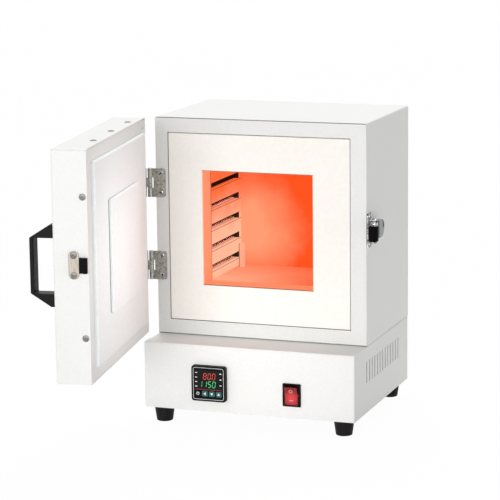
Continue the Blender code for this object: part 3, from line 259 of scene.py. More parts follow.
def tint(tree, share, colour):
    """Mixes a colour into the base colour of a material, as much as a socket says."""
    base = tree.nodes["Principled BSDF"].inputs["Base Color"]
    both = {0: share, 6: base.links[0].from_socket, 7: colour}
    tree.links.new(add(tree, "ShaderNodeMix", both, data_type="RGBA").outputs[2], base)


dress(powder_coat, "white_paint", "body_shell", "back_panel", "floor_panel")
# The frame has the same coat a little darker, with a dark hairline of painted shade along its top and
# foot where it meets the next sheet.
shade_lined_coat = surface("white_powder_coat_shade_lined", "#E4E4E2", "#E8E8E6", 2.2, (0.36, 0.44), 0.0015)
tree = shade_lined_coat.node_tree
height = position(tree)["Z"]
low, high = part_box("front_frame")
top_width, foot_width = 0.0011, 0.0009
# Painted shade: a dark hairline at the top and at the foot of the frame.
top_shade_line = maths(tree, "GREATER_THAN", height, high.z - top_width)
foot_shade_line = maths(tree, "LESS_THAN", height, low.z + foot_width)
tint(tree, maths(tree, "MAXIMUM", top_shade_line, foot_shade_line), linear("#777775"))
dress(shade_lined_coat, "white_paint", "front_frame")
back_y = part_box("back_panel")[1].y
back_seats = [
    stand((middle_x + x, back_y, z), (0, 1, 0))
    for x in (-0.138, 0.0, 0.138)
    for z in (0.123, 0.260, 0.398)
    if (x, z) != (0.0, 0.260)
]
screws("back_panel_screws", back_seats, 0.0030, HEAD_HEIGHT, zinc, "kiln")


# Front board
# The thick slab of vacuum-formed ceramic fibre round the mouth of the chamber. It is pressed into the
# casing dry, with a hairline gap all round, and heat has turned it cream.
def cad_copy(node):
    """The CAD piece's own shape as one merged mesh, without the diagonals of its triangles."""
    bm = bmesh.new()
    bm.from_mesh(frame["nodes"][node].data)
    bmesh.ops.remove_doubles(bm, verts=bm.verts, dist=1e-6)
    bmesh.ops.dissolve_limit(bm, angle_limit=math.radians(1), verts=bm.verts, edges=bm.edges)
    return bm


def refit(name, node, material, radius=0.0, steps=2, sharp=38):
    """The CAD piece again with its corners eased, in its place and on its body."""
    bm = cad_copy(node)
    if radius:
        corners = [e for e in bm.edges if e.is_manifold and e.calc_face_angle() > math.radians(50)]
        bmesh.ops.bevel(
            bm,
            geom=corners,
            offset=radius,
            affect="EDGES",
            segments=steps,
            profile=0.5,
            material=-1,
            clamp_overlap=True,
        )
    made = piece(name, bm, material, frame["nodes"][node]["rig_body"], sharp)
    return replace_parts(made, node)


mouth_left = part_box("wall_board_left")[1].x
mouth_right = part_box("wall_board_right")[0].x
mouth_x = (mouth_left + mouth_right) / 2
mouth_half = (mouth_right - mouth_left) / 2
mouth_z = (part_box("hearth_board")[1].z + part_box("roof_board")[0].z) / 2
board_front, board_back = (corner.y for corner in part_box("front_board"))

# Ceramic fibre board: matt cream, with a felted mottle about 6 mm across.
fired_board = surface("fired_ceramic_fibre_board", "#FAF6EF", "#FCF9F4", 6.0, (0.88, 1.0), 0.02)
tree = fired_board.node_tree
shader = tree.nodes["Principled BSDF"]
place = position(tree)
# The edge of the mouth glows with the chamber, more so towards the back.
aside = maths(tree, "ABSOLUTE", maths(tree, "SUBTRACT", place["X"], mouth_x))
above = maths(tree, "ABSOLUTE", maths(tree, "SUBTRACT", place["Z"], mouth_z))
reach = maths(tree, "MAXIMUM", aside, above)
inside = ranged(tree, reach, (mouth_half + 0.0004, mouth_half + 0.0016), (1.0, 0.0))
deep = ranged(tree, place["Y"], (board_front - 0.004, board_back), (0.24, 0.36))
shader.inputs["Emission Color"].default_value = linear("#FF9A6C")
tint(tree, inside, linear("#F0B492"))
# The upper and lower lips of the mouth carry a brown hairline of painted shade, which doesn't glow.
lip_round = 0.0012
edge = maths(tree, "COMPARE", above, mouth_half + 0.0006, 0.0005)
level = maths(tree, "LESS_THAN", aside, mouth_half + lip_round)
outer = maths(tree, "LESS_THAN", place["Y"], board_front + 0.0014)
lip_shade_line = maths(tree, "MULTIPLY", maths(tree, "MULTIPLY", edge, level), outer)
tint(tree, lip_shade_line, linear("#A86A50"))
glow = maths(tree, "SUBTRACT", maths(tree, "MULTIPLY", inside, deep), lip_shade_line, use_clamp=True)
tree.links.new(glow, shader.inputs["Emission Strength"])
refit("slab_round_mouth", "front_board", fired_board, lip_round)


# Chamber
# Five boards of ceramic fibre make the hot box: hearth, roof, back and two walls with five slots each
# for the heating coils. At firing heat they glow orange, palest low on the left and redder to the right.
SLOT_COUNT = 5
SLOT_PITCH = 0.028
LOWEST_SLOT = 0.0115
SLOT_FAR_END = 0.1395
BOARD_DEPTH = 0.030


def hot_ceramic(name, pale, deep_red, strength, low=0.32, across=(1.0, 0.0, 1.0), reach=(0.64, 1.47)):
    """Fibre board at red heat, from pale to deep red. Behind the wall's face the glow fades out as painted
    shade.
    """
    material = surface(name, "#8E3418", "#A03C1E", 5.0, (0.9, 1.0), 0.05)
    tree = material.node_tree
    shader = tree.nodes["Principled BSDF"]
    place = tree.nodes["Texture Coordinate"].outputs["Object"]
    palest = (mouth_x - 0.85 * mouth_half, casing_front + BOARD_DEPTH, mouth_z - low * mouth_half)
    palest = Vector(p * share for p, share in zip(palest, across))
    flat = add(tree, "ShaderNodeVectorMath", {0: place, 1: across}, operation="MULTIPLY")
    off = add(tree, "ShaderNodeVectorMath", {0: flat.outputs["Vector"], 1: palest}, operation="DISTANCE")
    patches = {"Vector": place, "Scale": 26.0, "Detail": 4.0, "Roughness": 0.6}
    cloud = add(tree, "ShaderNodeTexNoise", patches)
    heat = maths(tree, "MULTIPLY_ADD", cloud.outputs["Fac"], 0.045, off.outputs["Value"])
    heat = ranged(tree, heat, (reach[0] * mouth_half, reach[1] * mouth_half), (0.0, 1.0))
    colour = add(tree, "ShaderNodeValToRGB", {"Fac": heat})
    first, last = colour.color_ramp.elements
    first.position, first.color = 0.0, linear(pale)
    last.position, last.color = 1.0, linear(deep_red)
    aside = maths(tree, "ABSOLUTE", maths(tree, "SUBTRACT", position(tree)["X"], mouth_x))
    fade = ranged(tree, aside, (mouth_half + 0.0030, mouth_half + 0.0095), (strength, 0.05))
    tree.links.new(colour.outputs["Color"], shader.inputs["Emission Color"])
    tree.links.new(fade, shader.inputs["Emission Strength"])
    return material


def dim(tree, share):
    """Multiplies the glow of a material by a socket's value."""
    glow = tree.nodes["Principled BSDF"].inputs["Emission Strength"]
    tree.links.new(maths(tree, "MULTIPLY", glow.links[0].from_socket, share), glow)


hot_back = hot_ceramic("glowing_fibre_board", "#FFB084", "#FF4E00", 0.70)
hot_wall = hot_ceramic("glowing_slotted_board", "#FFD4AE", "#FF7A44", 0.72, low=0.60)
hot_hearth = hot_ceramic(
    "glowing_hearth_board", "#FFC49C", "#FF6A34", 0.68, across=(1.0, 0.8, 0.0), reach=(0.30, 2.20)
)
# A thin shadow lies along the lower lip of each slot and down the joint with the front board.
hearth_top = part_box("hearth_board")[1].z
below_slot, line_middle, line_half, last_line, joint_width = 0.0016, 0.0006, 0.0005, 0.120, 0.0010
tree = hot_wall.node_tree
place = position(tree)
above = maths(tree, "SUBTRACT", place["Z"], hearth_top + LOWEST_SLOT - below_slot)
within = maths(tree, "FLOORED_MODULO", above, SLOT_PITCH)
lip = maths(tree, "COMPARE", within, line_middle, line_half)
lip = maths(tree, "MULTIPLY", lip, maths(tree, "LESS_THAN", above, last_line))
joint = maths(tree, "LESS_THAN", place["Y"], casing_front + BOARD_DEPTH + joint_width)
shade = ranged(tree, maths(tree, "MAXIMUM", lip, joint), (0.0, 1.0), (1.0, 0.30))
# The far end of each slot is darkened with painted shade.
aside = maths(tree, "ABSOLUTE", maths(tree, "SUBTRACT", place["X"], mouth_x))
sunk = maths(tree, "GREATER_THAN", aside, mouth_half + 0.0004)
far = maths(tree, "GREATER_THAN", place["Y"], casing_front + SLOT_FAR_END)
far_end = maths(tree, "MULTIPLY", sunk, far)
dim(tree, ranged(tree, far_end, (0.0, 1.0), (shade, 0.02)))
tint(tree, far_end, linear("#1C0806"))
dress(hot_back, "hot_board", "roof_board", "back_board")
dress(hot_hearth, "hot_board", "hearth_board")
dress(hot_wall, "hot_board", "wall_board_left", "wall_board_right")


# Heating coils
# Resistance wire 1.5 mm thick wound to 6.5 mm, one length to each wall, laid to and fro in the slots.
# Between slots the wire runs straight up the channels behind the wall.
COIL_WIRE = 0.0015
COIL_OUTER = 0.0065
COIL_PITCH = 0.0062
COIL_LIFT = 0.0003
COIL_SETBACK = 0.007
LEAD_SETBACK = 0.020
TURN_STEPS = 10
# Oxidised heating alloy: a dull dark brown crust, lumps about 1 mm.
heating_alloy = surface(
    "oxidised_heating_alloy", "#0E0706", "#1E0E0A", 1.0, (0.6, 0.85), 0.03, metallic=0.3
)
run_front = casing_front + 0.0363
run_back = casing_front + 0.1360
# The lower half of each run shows its heat, and the upper half is dimmed with painted shade from the slot
# along a ragged edge. The uppermost run is all in painted shade.
tree = heating_alloy.node_tree
heated = tree.nodes["Principled BSDF"]
heated.inputs["Emission Color"].default_value = linear("#F8947E")
place = tree.nodes["Texture Coordinate"].outputs["Object"]
above = maths(tree, "SUBTRACT", position(tree)["Z"], hearth_top + LOWEST_SLOT + COIL_LIFT)
within = maths(tree, "FLOORED_MODULO", above, SLOT_PITCH)
shade_edge_noise = add(tree, "ShaderNodeTexNoise", {"Vector": place, "Scale": 160.0})
shade_edge_depth, uppermost = 0.0050, 0.1
ragged = maths(tree, "MULTIPLY_ADD", shade_edge_noise.outputs["Fac"], shade_edge_depth, within)
glow_and_shade = ranged(tree, ragged, (0.0043, 0.0054), (1.15, 0.004))
glow_and_shade = maths(tree, "MULTIPLY", glow_and_shade, maths(tree, "LESS_THAN", above, uppermost))
tree.links.new(glow_and_shade, heated.inputs["Emission Strength"])
lowest_run = hearth_top + LOWEST_SLOT + COIL_LIFT + COIL_OUTER / 2
runs = [lowest_run + SLOT_PITCH * i for i in range(SLOT_COUNT)]
turns = int((run_back - run_front) / COIL_PITCH)
for hand, wall_x, outward in (("left", mouth_left, -1.0), ("right", mouth_right, 1.0)):
    run_x = wall_x + outward * COIL_SETBACK
    lead_x = wall_x + outward * LEAD_SETBACK
    coil = bmesh.new()
    for z in runs:
        centre = Vector((run_x, run_front, z))
        rim = centre + Vector((COIL_OUTER / 2 - COIL_WIRE / 2, 0.0, 0.0))
        section = bmesh.ops.create_circle(
            coil, segments=6, radius=COIL_WIRE / 2, matrix=Matrix.Translation(rim)
        )
        wound = section["verts"] + list({e for v in section["verts"] for e in v.link_edges})
        bmesh.ops.spin(
            coil,
            geom=wound,
            cent=centre,
            axis=(0.0, 1.0, 0.0),
            dvec=(0.0, COIL_PITCH / TURN_STEPS, 0.0),
            angle=2 * math.pi * turns,
            steps=TURN_STEPS * turns,
            use_merge=False,
        )
    leads = []
    for index, z in enumerate(runs):
        for end in (run_front, run_back):
            leads.append(((run_x, end, z), (lead_x, end, z)))
        if index:
            end = run_front if index % 2 else run_back
            leads.append(((lead_x, end, runs[index - 1]), (lead_x, end, z)))
    for begin, end in leads:
        length = (Vector(end) - Vector(begin)).length
        profile = [(0.0, 0.0), (COIL_WIRE / 2, 0.0), (COIL_WIRE / 2, length), (0.0, length)]
        turned(coil, profile, stand(begin, Vector(end) - Vector(begin)), steps=8)
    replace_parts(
        piece(f"wound_coil_{hand}", coil, heating_alloy, "kiln"), f"heating_coil_{hand}"
    )
dress(heating_alloy, "heating_alloy", "coil_link", "coil_tail_left", "coil_tail_right")


# Thermocouple
# A closed alumina tube over the sensing wires, standing up through the hearth in the back left corner.
# Its ceramic head and the coils' terminal blocks hang under the top of the base.
low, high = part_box("thermocouple_sheath")
sheath_radius = (high.x - low.x) / 2
dome = [
    (sheath_radius * math.cos(a), high.z - sheath_radius * (1 - math.sin(a)))
    for a in (math.radians(15 * step) for step in range(7))
]
sheath = bmesh.new()
seat = Matrix.Translation(((low.x + high.x) / 2, (low.y + high.y) / 2, 0.0))
turned(sheath, [(0.0, low.z), (sheath_radius, low.z), *dome[:-1], (0.0, high.z)], seat)
hot_alumina = hot_ceramic("glowing_alumina_tube", "#FFCCA8", "#FFB088", 0.66)
# The side of the tube that faces the wall lies in its shade.
tree = hot_alumina.node_tree
wall_side = maths(tree, "LESS_THAN", position(tree)["X"], low.x + 0.5 * sheath_radius)
dim(tree, ranged(tree, wall_side, (0.0, 1.0), (1.0, 0.18)))
made = piece("alumina_sheath", sheath, hot_alumina, "kiln")
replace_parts(made, "thermocouple_sheath")
# Steatite: dense glazed-looking white ceramic, faintly speckled.
steatite = surface("pressed_steatite", "#DAD5C9", "#EDE9DF", 1.2, (0.35, 0.5), 0.02)
dress(steatite, "white_ceramic", "thermocouple_head", "terminal_block_left", "terminal_block_right")


# Blanket
# Needled ceramic fibre wool fills the casing behind the boards and the pan of the door. Only its edge
# can be seen through the gaps, and its dark brown is painted shade for those gaps.
wool = surface("ceramic_fibre_wool", "#5E564C", "#7A7065", 3.0, (0.95, 1.0), 0.4, stretch=(1.0, 1.0, 2.5))
dress(wool, "fibre_blanket", "insulation_wrap", "insulation_back", "door_insulation")


# Temperature controller
# A panel meter of the 48 mm square size: a black moulded bezel with a grey printed line round its face,
# a tinted window with two rows of figures, and four keys below.
INK = 0.00005
FIGURE_HEIGHT = 0.0086
FIGURE_PITCH = 0.0063


def printed(name, shapes, place, raised, material, body):
    """Flat marks: each outline lies in the print's own plane, is raised a little and set in place."""
    bm = bmesh.new()
    for shape in shapes:
        bm.faces.new([bm.verts.new((x, y, 0.0)) for x, y in shape])
    bmesh.ops.remove_doubles(bm, verts=bm.verts, dist=1e-7)
    top = bmesh.ops.extrude_face_region(bm, geom=bm.faces[:])["geom"]
    top = [v for v in top if isinstance(v, bmesh.types.BMVert)]
    bmesh.ops.translate(bm, vec=(0.0, 0.0, raised), verts=top)
    bmesh.ops.transform(bm, matrix=place, verts=bm.verts)
    return piece(name, bm, material, body)


def band(outer, inner):
    """The strip between two loops with the same number of points, as four-sided shapes."""
    count = len(outer)
    return [
        (outer[i], outer[(i + 1) % count], inner[(i + 1) % count], inner[i]) for i in range(count)
    ]


def round_corners(width, height, radius, steps=6):
    """A rectangle about its own middle with round corners, as points."""
    points = []
    for quarter, (sx, sy) in enumerate(((1, 1), (-1, 1), (-1, -1), (1, -1))):
        for step in range(steps + 1):
            a = math.pi / 2 * (quarter + step / steps)
            x = sx * (width / 2 - radius) + radius * math.cos(a)
            points.append((x, sy * (height / 2 - radius) + radius * math.sin(a)))
    return points


def circle(radius):
    """A circle of 24 points about its own middle."""
    return [(radius * math.cos(a), radius * math.sin(a)) for a in (math.pi / 12 * i for i in range(24))]


def oblong(left, low, right, high):
    """The four corners of an upright rectangle."""
    return [(left, low), (right, low), (right, high), (left, high)]


# Moulded ABS: black with a fine satin spark texture, drawn at 0.8 mm.
black_abs = surface("black_moulded_abs", "#060607", "#0B0B0C", 0.8, (0.38, 0.5), 0.006, shine=0.08)
refit("meter_case", "controller_case", black_abs)
dress(black_abs, "black_plastic", "controller_clamp", "solid_state_relay")
# Tinted acrylic: glossy, nearly black, with the faintest cloud.
acrylic = surface("tinted_acrylic", "#080909", "#0C0E0E", 4.0, (0.10, 0.16), 0.002, shine=0.2)
dress(acrylic, "tinted_window", "controller_window")
meter_low, meter_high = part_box("controller_case")
meter_x = (meter_low.x + meter_high.x) / 2
meter_z = (meter_low.z + meter_high.z) / 2
meter_face = Matrix.Translation((meter_x, meter_low.y, meter_z)) @ Matrix.Rotation(math.pi / 2, 4, "X")
# Screen-printing ink: flat and a little uneven.
grey_ink = surface("grey_screen_ink", "#A9ADAD", "#C2C6C6", 1.5, (0.5, 0.6), 0.004)
white_ink = surface("white_screen_ink", "#DDE0E0", "#F2F4F4", 1.5, (0.5, 0.6), 0.004)
crimson_ink = surface("crimson_screen_ink", "#7E1020", "#96182A", 1.5, (0.5, 0.6), 0.004)
outline = band(round_corners(0.0436, 0.0436, 0.0030), round_corners(0.0420, 0.0420, 0.0022))
printed("meter_outline", outline, meter_face, INK, grey_ink, "kiln")
rule = [oblong(-0.0185, -0.0084, 0.0185, -0.0076)]
printed("meter_rule", rule, meter_face, INK, crimson_ink, "kiln")
ticks = [(-0.0172, z) for z in (0.0140, 0.0078, 0.0016, -0.0046)]
ticks += [(0.0172, z) for z in (0.0140, 0.0060, -0.0020)]
ticks = [oblong(x - 0.0014, z, x + 0.0014, z + 0.0011) for x, z in ticks]
printed("meter_marks", ticks, meter_face, INK, white_ink, "kiln")

# Lit figures of seven bars each, leaning a little to the right.
BAR_ENDS = {
    "a": ((-1, 2), (1, 2)),
    "b": ((1, 2), (1, 0)),
    "c": ((1, 0), (1, -2)),
    "d": ((-1, -2), (1, -2)),
    "e": ((-1, 0), (-1, -2)),
    "f": ((-1, 2), (-1, 0)),
    "g": ((-1, 0), (1, 0)),
}
FIGURES = {"0": "abcdef", "1": "bc", "5": "afgcd", "8": "abcdefg"}


def figure_bars(text, centre, height=FIGURE_HEIGHT, pitch=FIGURE_PITCH):
    """The bars of a row of figures, each a six-sided lozenge."""
    shapes = []
    across, up, slant = 0.22 * height, 0.235 * height, 0.12
    thick, gap = 0.05 * height, 0.035 * height
    for index, figure in enumerate(text):
        middle = centre[0] + (index - (len(text) - 1) / 2) * pitch
        for bar in FIGURES[figure]:
            ends = [Vector((x * across, y * up)) for x, y in BAR_ENDS[bar]]
            run = (ends[1] - ends[0]).normalized()
            side = Vector((-run.y, run.x)) * thick
            a, b = ends[0] + run * gap, ends[1] - run * gap
            nose = run * thick
            points = [a, a + nose + side, b - nose + side, b, b - nose - side, a + nose - side]
            shapes.append([(middle + p.x + slant * p.y, centre[1] + p.y) for p in points])
    return shapes


def lit(name, dark, light, strength):
    """The face of a light-emitting diode behind tinted acrylic."""
    material = surface(name, dark, light, 2.0, (0.3, 0.4), 0.002)
    shader = material.node_tree.nodes["Principled BSDF"]
    shader.inputs["Emission Color"].default_value = linear(light)
    shader.inputs["Emission Strength"].default_value = strength
    return material


red_led = lit("red_led", "#5A1208", "#D8432C", 0.62)
green_led = lit("green_led", "#0C4A26", "#3CC874", 0.66)
upper, lower = figure_bars("800", (0.0014, 0.0100)), figure_bars("1150", (-0.0016, -0.0008))
printed("figures_upper", upper, meter_face, 2 * INK, red_led, "kiln")
printed("figures_lower", lower, meter_face, 2 * INK, green_led, "kiln")

# Keys of soft moulded plastic, one black and three teal, each with a printed mark.
teal_abs = surface("teal_moulded_key", "#16504E", "#1F6360", 0.8, (0.42, 0.55), 0.012)
key_ring = band(circle(0.0021), circle(0.62 * 0.0021))
arrow = [(-0.0020, -0.0012), (0.0020, -0.0012), (0.0, 0.0019)]
for key, turn in (("set", None), ("shift", 90), ("down", 180), ("up", 0)):
    colour, slot = (black_abs, "black_plastic") if turn is None else (teal_abs, "teal_key")
    refit(f"cap_{key}", f"key_{key}", colour, 0.0004)
    low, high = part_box(f"key_{key}")
    face = Matrix.Translation(((low.x + high.x) / 2, low.y, (low.z + high.z) / 2))
    face = face @ Matrix.Rotation(math.pi / 2, 4, "X") @ Matrix.Rotation(math.radians(turn or 0), 4, "Z")
    shapes = key_ring if turn is None else [arrow]
    printed(f"mark_{key}", shapes, face, INK, white_ink, f"button_{key}")


# Rocker switch
# A snap-in mains switch: black frame and a red see-through rocker with a lamp behind it. It rests with
# its lower half pressed, and carries the ring and the bar that stand for off and on.
refit("switch_frame", "switch_housing", black_abs, 0.0005)
# Tinted polycarbonate over a neon lamp: glossy red that is lit from inside.
red_lens = surface("red_polycarbonate", "#6E070B", "#86090E", 5.0, (0.14, 0.22), 0.004)
lamp = red_lens.node_tree.nodes["Principled BSDF"]
lamp.inputs["Emission Color"].default_value = linear("#F04048")
lamp_at = sum(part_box("switch_rocker"), Vector()) / 2 - Vector((0.0, 0.0, 0.003))
tree = red_lens.node_tree
place = tree.nodes["Texture Coordinate"].outputs["Object"]
off = add(tree, "ShaderNodeVectorMath", {0: place, 1: lamp_at}, operation="DISTANCE")
bright = ranged(tree, off.outputs["Value"], (0.002, 0.0125), (0.70, 0.0))
tree.links.new(bright, lamp.inputs["Emission Strength"])
refit("lit_rocker", "switch_rocker", red_lens, 0.0004)
rocker_joint = next(joint for joint in frame["joints"] if joint["name"] == "rocker_tilt")
axle = Vector(rocker_joint["pos_m"])
tilt = Matrix.Rotation(math.radians(11), 4, "X")
rest_tilt = Matrix.Translation(axle) @ tilt @ Matrix.Translation(-axle)
frame_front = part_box("switch_housing")[0].y
rise, half_length, proud = 0.0016, 0.0123, 0.0016
face_lean = math.atan2(rise, half_length)
# Pale ink printed on the lens.
pink_ink = surface("pale_pink_ink", "#E89A98", "#F4B4B0", 1.5, (0.4, 0.5), 0.004)
ring = band(circle(0.0025), circle(0.76 * 0.0025))
bar = [oblong(-0.0028, -0.0004, 0.0028, 0.0004)]
for name, shapes, height, lean in (
    ("rocker_ring", ring, 0.0068, face_lean),
    ("rocker_bar", bar, -0.0064, -face_lean),
):
    out = frame_front - proud - math.tan(face_lean) * abs(height)
    face = Matrix.Translation((axle.x, out, axle.z + height))
    face = face @ Matrix.Rotation(math.pi / 2 + lean, 4, "X")
    printed(name, shapes, rest_tilt @ face, INK, pink_ink, "rocker")


# Electrics in the base and mains inlet
# A relay on an extruded aluminium heat sink, and a moulded inlet with three flat pins on the back,
# held by two screws. The inlet takes a lead with the usual three-pin connector.
# Extruded aluminium: pale and faintly drawn along its length, die lines about 1 mm apart.
extrusion = surface(
    "extruded_aluminium", "#B4B6B8", "#C6C8CA", 1.0, (0.32, 0.46), 0.01, 1.0, (1.0, 0.05, 1.0)
)
dress(extrusion, "aluminium", "heat_sink")
refit("inlet_housing", "power_inlet", black_abs)
inlet_low, inlet_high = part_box("power_inlet")
inlet_x = (inlet_low.x + inlet_high.x) / 2
inlet_z = (inlet_low.z + inlet_high.z) / 2
pins = bmesh.new()
blade = Matrix.Diagonal((0.0022, 0.0118, 0.0042, 1.0))
for across, up in ((-0.007, -0.002), (0.0, 0.002), (0.007, -0.002)):
    middle = Matrix.Translation((inlet_x + across, inlet_high.y - 0.0108, inlet_z + up))
    bmesh.ops.create_cube(pins, size=1.0, matrix=middle @ blade)
tips = [e for e in pins.edges if all(v.co.y > inlet_high.y - 0.006 for v in e.verts)]
bmesh.ops.bevel(
    pins,
    geom=tips,
    offset=0.0006,
    affect="EDGES",
    segments=2,
    profile=0.5,
    material=-1,
    clamp_overlap=True,
)
piece("inlet_blades", pins, zinc, "kiln")
inlet_seats = [
    stand((inlet_x + x, inlet_high.y - 0.0012, inlet_z), (0, 1, 0)) for x in (-0.0195, 0.0195)
]
screws("inlet_screws", inlet_seats, 0.0026, 0.0012, zinc, "kiln")


# Door
# A folded pan of powder-coated steel with an inner frame. It holds a white ceramic fibre board, not yet
# yellowed, with a raised plug that enters the mouth. Pan-head screws hold the frame along its edges.
door_joint = next(joint for joint in frame["joints"] if joint["name"] == "door_hinge")
hinge_line = Vector(door_joint["pos_m"])
swing = Matrix.Rotation(math.radians(door_joint["range_deg"][0]), 4, "Z")
open_door = Matrix.Translation(hinge_line) @ swing @ Matrix.Translation(-hinge_line)
dress(powder_coat, "white_paint", "door_pan", "door_frame")
# Fresh ceramic fibre board: chalk white with a faint blue cast painted against the chamber's orange
# light, soft at its edges, with the same felted mottle.
white_board = surface("white_ceramic_fibre_board", "#F1F3F3", "#F5F6F6", 6.0, (0.9, 1.0), 0.02)
refit("door_slab", "door_board", white_board, 0.0022, 3)
refit("door_raised_plug", "door_plug", white_board, 0.0040, 4)
door_free = hinge_line.x + 0.3055
door_face = hinge_line.y - 0.0048
door_low, door_high = (corner.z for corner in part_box("door_pan"))
# Nickel-plated screws: brighter and smoother than zinc.
nickel = surface("nickel_plated_steel", "#8C8B87", "#BDBBB6", 2.0, (0.16, 0.28), 0.006, metallic=1.0)
door_seats = [
    stand((door_free - x, door_face - 0.011, door_high), (0, 0, 1)) for x in (0.076, 0.164, 0.252)
]
door_seats += [stand((door_free, door_face - 0.006, door_low + z), (1, 0, 0)) for z in (0.059, 0.235)]
door_seats = [open_door @ seat for seat in door_seats]
# Dulled nickel: the door's screws are a darker, less metallic grey than the nickel elsewhere.
dull_nickel = surface("dull_nickel", "#6A6966", "#8E8C88", 2.0, (0.32, 0.48), 0.006, metallic=0.5)
screws("door_edge_screws", door_seats, 0.0044, 0.0009, dull_nickel, "door")
rivet = bmesh.new()
rivet_at = stand((door_free - 0.288, door_face, door_high - 0.012), (0, 1, 0))
rivet_dome = [(0.0, 0.0), (0.0016, 0.0), (0.0014, 0.0005), (0.0008, 0.0008), (0.0, 0.0009)]
turned(rivet, rivet_dome, open_door @ rivet_at, 16)
piece("door_rivet", rivet, nickel, "door")


# Handle
# A bow moulded in black plastic with sloped shoulders, screwed on through the door's outer sheet.
# Moulded nylon: black, with a leathery grain about 1.2 mm across.
nylon = surface("black_moulded_nylon", "#080808", "#0E0E0E", 1.2, (0.38, 0.5), 0.012, shine=0.12)
refit("bow_handle", "door_handle", nylon)


# Hinges
# Two butt hinges of pressed steel with rolled knuckles on a loose pin. One leaf is screwed to the face
# of the casing and one to the door's edge, with two screws in each.
FIT_GAP = 0.0003
LEAF_SHEET = 0.0015
for level in ("upper", "lower"):
    for side in ("body", "door"):
        refit(f"{side}_leaf_{level}", f"hinge_leaf_{side}_{level}", zinc)
    low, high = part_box(f"hinge_pin_{level}")
    radius = (high.x - low.x) / 2
    pin = bmesh.new()
    ends = [(0.0, low.z), (0.7 * radius, low.z), (radius, low.z + 0.0005), (radius, high.z - 0.0005)]
    ends += [(0.7 * radius, high.z), (0.0, high.z)]
    turned(pin, ends, Matrix.Translation((hinge_line.x, hinge_line.y, 0.0)), 20)
    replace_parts(piece(f"loose_pin_{level}", pin, nickel, "kiln"), f"hinge_pin_{level}")
    heights = [(low.z + high.z) / 2 + z for z in (0.013, -0.013)]
    leaf_face = hinge_line.y - LEAF_SHEET / 2
    seats = [stand((hinge_line.x + 0.0158, leaf_face, z), (0, -1, 0)) for z in heights]
    screws(f"body_leaf_screws_{level}", seats, 0.0034, 0.0007, nickel, "kiln")
    outer = hinge_line.x + 0.003 - FIT_GAP - LEAF_SHEET
    seats = [open_door @ stand((outer, hinge_line.y - 0.0150, z), (-1, 0, 0)) for z in heights]
    screws(f"door_leaf_screws_{level}", seats, 0.0034, 0.0007, nickel, "door")


# Strike
# A rounded steel plate screwed to the door's free edge, with a black moulded block whose ridge the
# catch's roller rides over.
# Stainless strip: pale and warm, brushed along its length, lines about 0.6 mm apart.
brushed = surface(
    "brushed_stainless", "#968E82", "#BDB4A8", 0.6, (0.42, 0.55), 0.006, 0.6, (1.0, 1.0, 0.06)
)
refit("rounded_strike_plate", "strike_plate", brushed, 0.0003)
refit("ridged_strike", "strike_block", black_abs, 0.0003)
latch_z = next(joint for joint in frame["joints"] if joint["name"] == "latch_pivot")["pos_m"][2]
strike_z = latch_z - 0.003
strike_sheet = 0.0012
plate_out = door_free + FIT_GAP + strike_sheet
seats = [stand((plate_out, door_face - 0.0187, strike_z + z), (1, 0, 0)) for z in (-0.0125, 0.0125)]
seats = [open_door @ seat for seat in seats]
screws("strike_screws", seats, 0.0044, 0.0011, dull_nickel, "door")


# Roller catch
# A plate with a cast boss and two ears on the side of the casing. A sprung yoke swings on a pin between
# the ears and carries a black roller, which holds the door's strike.
# Chrome plate: mirror bright, with dark and bright streaks about 4 mm across painted in as reflections.
chrome = surface("chrome_plate", "#1C1C1E", "#E4E4E6", 4.0, (0.05, 0.14), 0.05, metallic=1.0)
# The boss is cast and satin plated, an even grey, and the plate in front of it is chromed, with dark and
# bright streaks painted in as reflections.
satin = surface("satin_plated_casting", "#8E8F90", "#A6A7A8", 3.0, (0.42, 0.55), 0.02, metallic=0.45)
tree = satin.node_tree
place = position(tree)
boss_front = casing_front + 0.0195
reflection_streaks = add(tree, "ShaderNodeValToRGB", {"Fac": tree.nodes["Noise Texture"].outputs["Fac"]})
first, last = reflection_streaks.color_ramp.elements
first.position, first.color = 0.42, linear("#232325")
last.position, last.color = 0.56, linear("#E2E2E4")
tint(tree, maths(tree, "LESS_THAN", place["Y"], boss_front), reflection_streaks.outputs["Color"])
# The boss's rear edge mirrors the dark of the room over its upper half.
boss_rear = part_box("latch_plate")[1].y - 0.0075
rim = maths(tree, "GREATER_THAN", place["Y"], boss_rear)
upper = maths(tree, "GREATER_THAN", place["Z"], latch_z)
tint(tree, maths(tree, "MULTIPLY", rim, upper), linear("#0A0A0B"))
refit("catch_plate", "latch_plate", satin, 0.0004)
refit("catch_yoke", "latch_yoke", chrome)
refit("catch_spring", "latch_spring", nickel, sharp=60)
head, lip = 0.0031, 0.0008
for pin_name, node in (("catch_pin", "latch_pivot_pin"), ("roller_axle", "roller_pin")):
    low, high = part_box(node)
    radius = (high.x - low.x) / 2
    middle = Matrix.Translation(((low.x + high.x) / 2, (low.y + high.y) / 2, 0.0))
    shape = [(0.0, low.z - lip), (0.7 * head, low.z - lip), (head, low.z - 0.3 * lip), (head, low.z)]
    shape += [(radius, low.z), (radius, high.z), (head, high.z), (head, high.z + 0.3 * lip)]
    shape += [(0.7 * head, high.z + lip), (0.0, high.z + lip)]
    pin = bmesh.new()
    turned(pin, shape, middle, 24)
    body = frame["nodes"][node]["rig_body"]
    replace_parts(piece(pin_name, pin, chrome, body), node)
low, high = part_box("latch_roller")
radius = (high.x - low.x) / 2
middle = Matrix.Translation(((low.x + high.x) / 2, (low.y + high.y) / 2, 0.0))
bore, chamfer = 0.00215, 0.0012
roller = bmesh.new()
wall = [(bore, low.z), (radius - chamfer, low.z), (radius, low.z + chamfer), (radius, high.z - chamfer)]
wall += [(radius - chamfer, high.z), (bore, high.z), (bore, low.z)]
turned(roller, wall, middle)
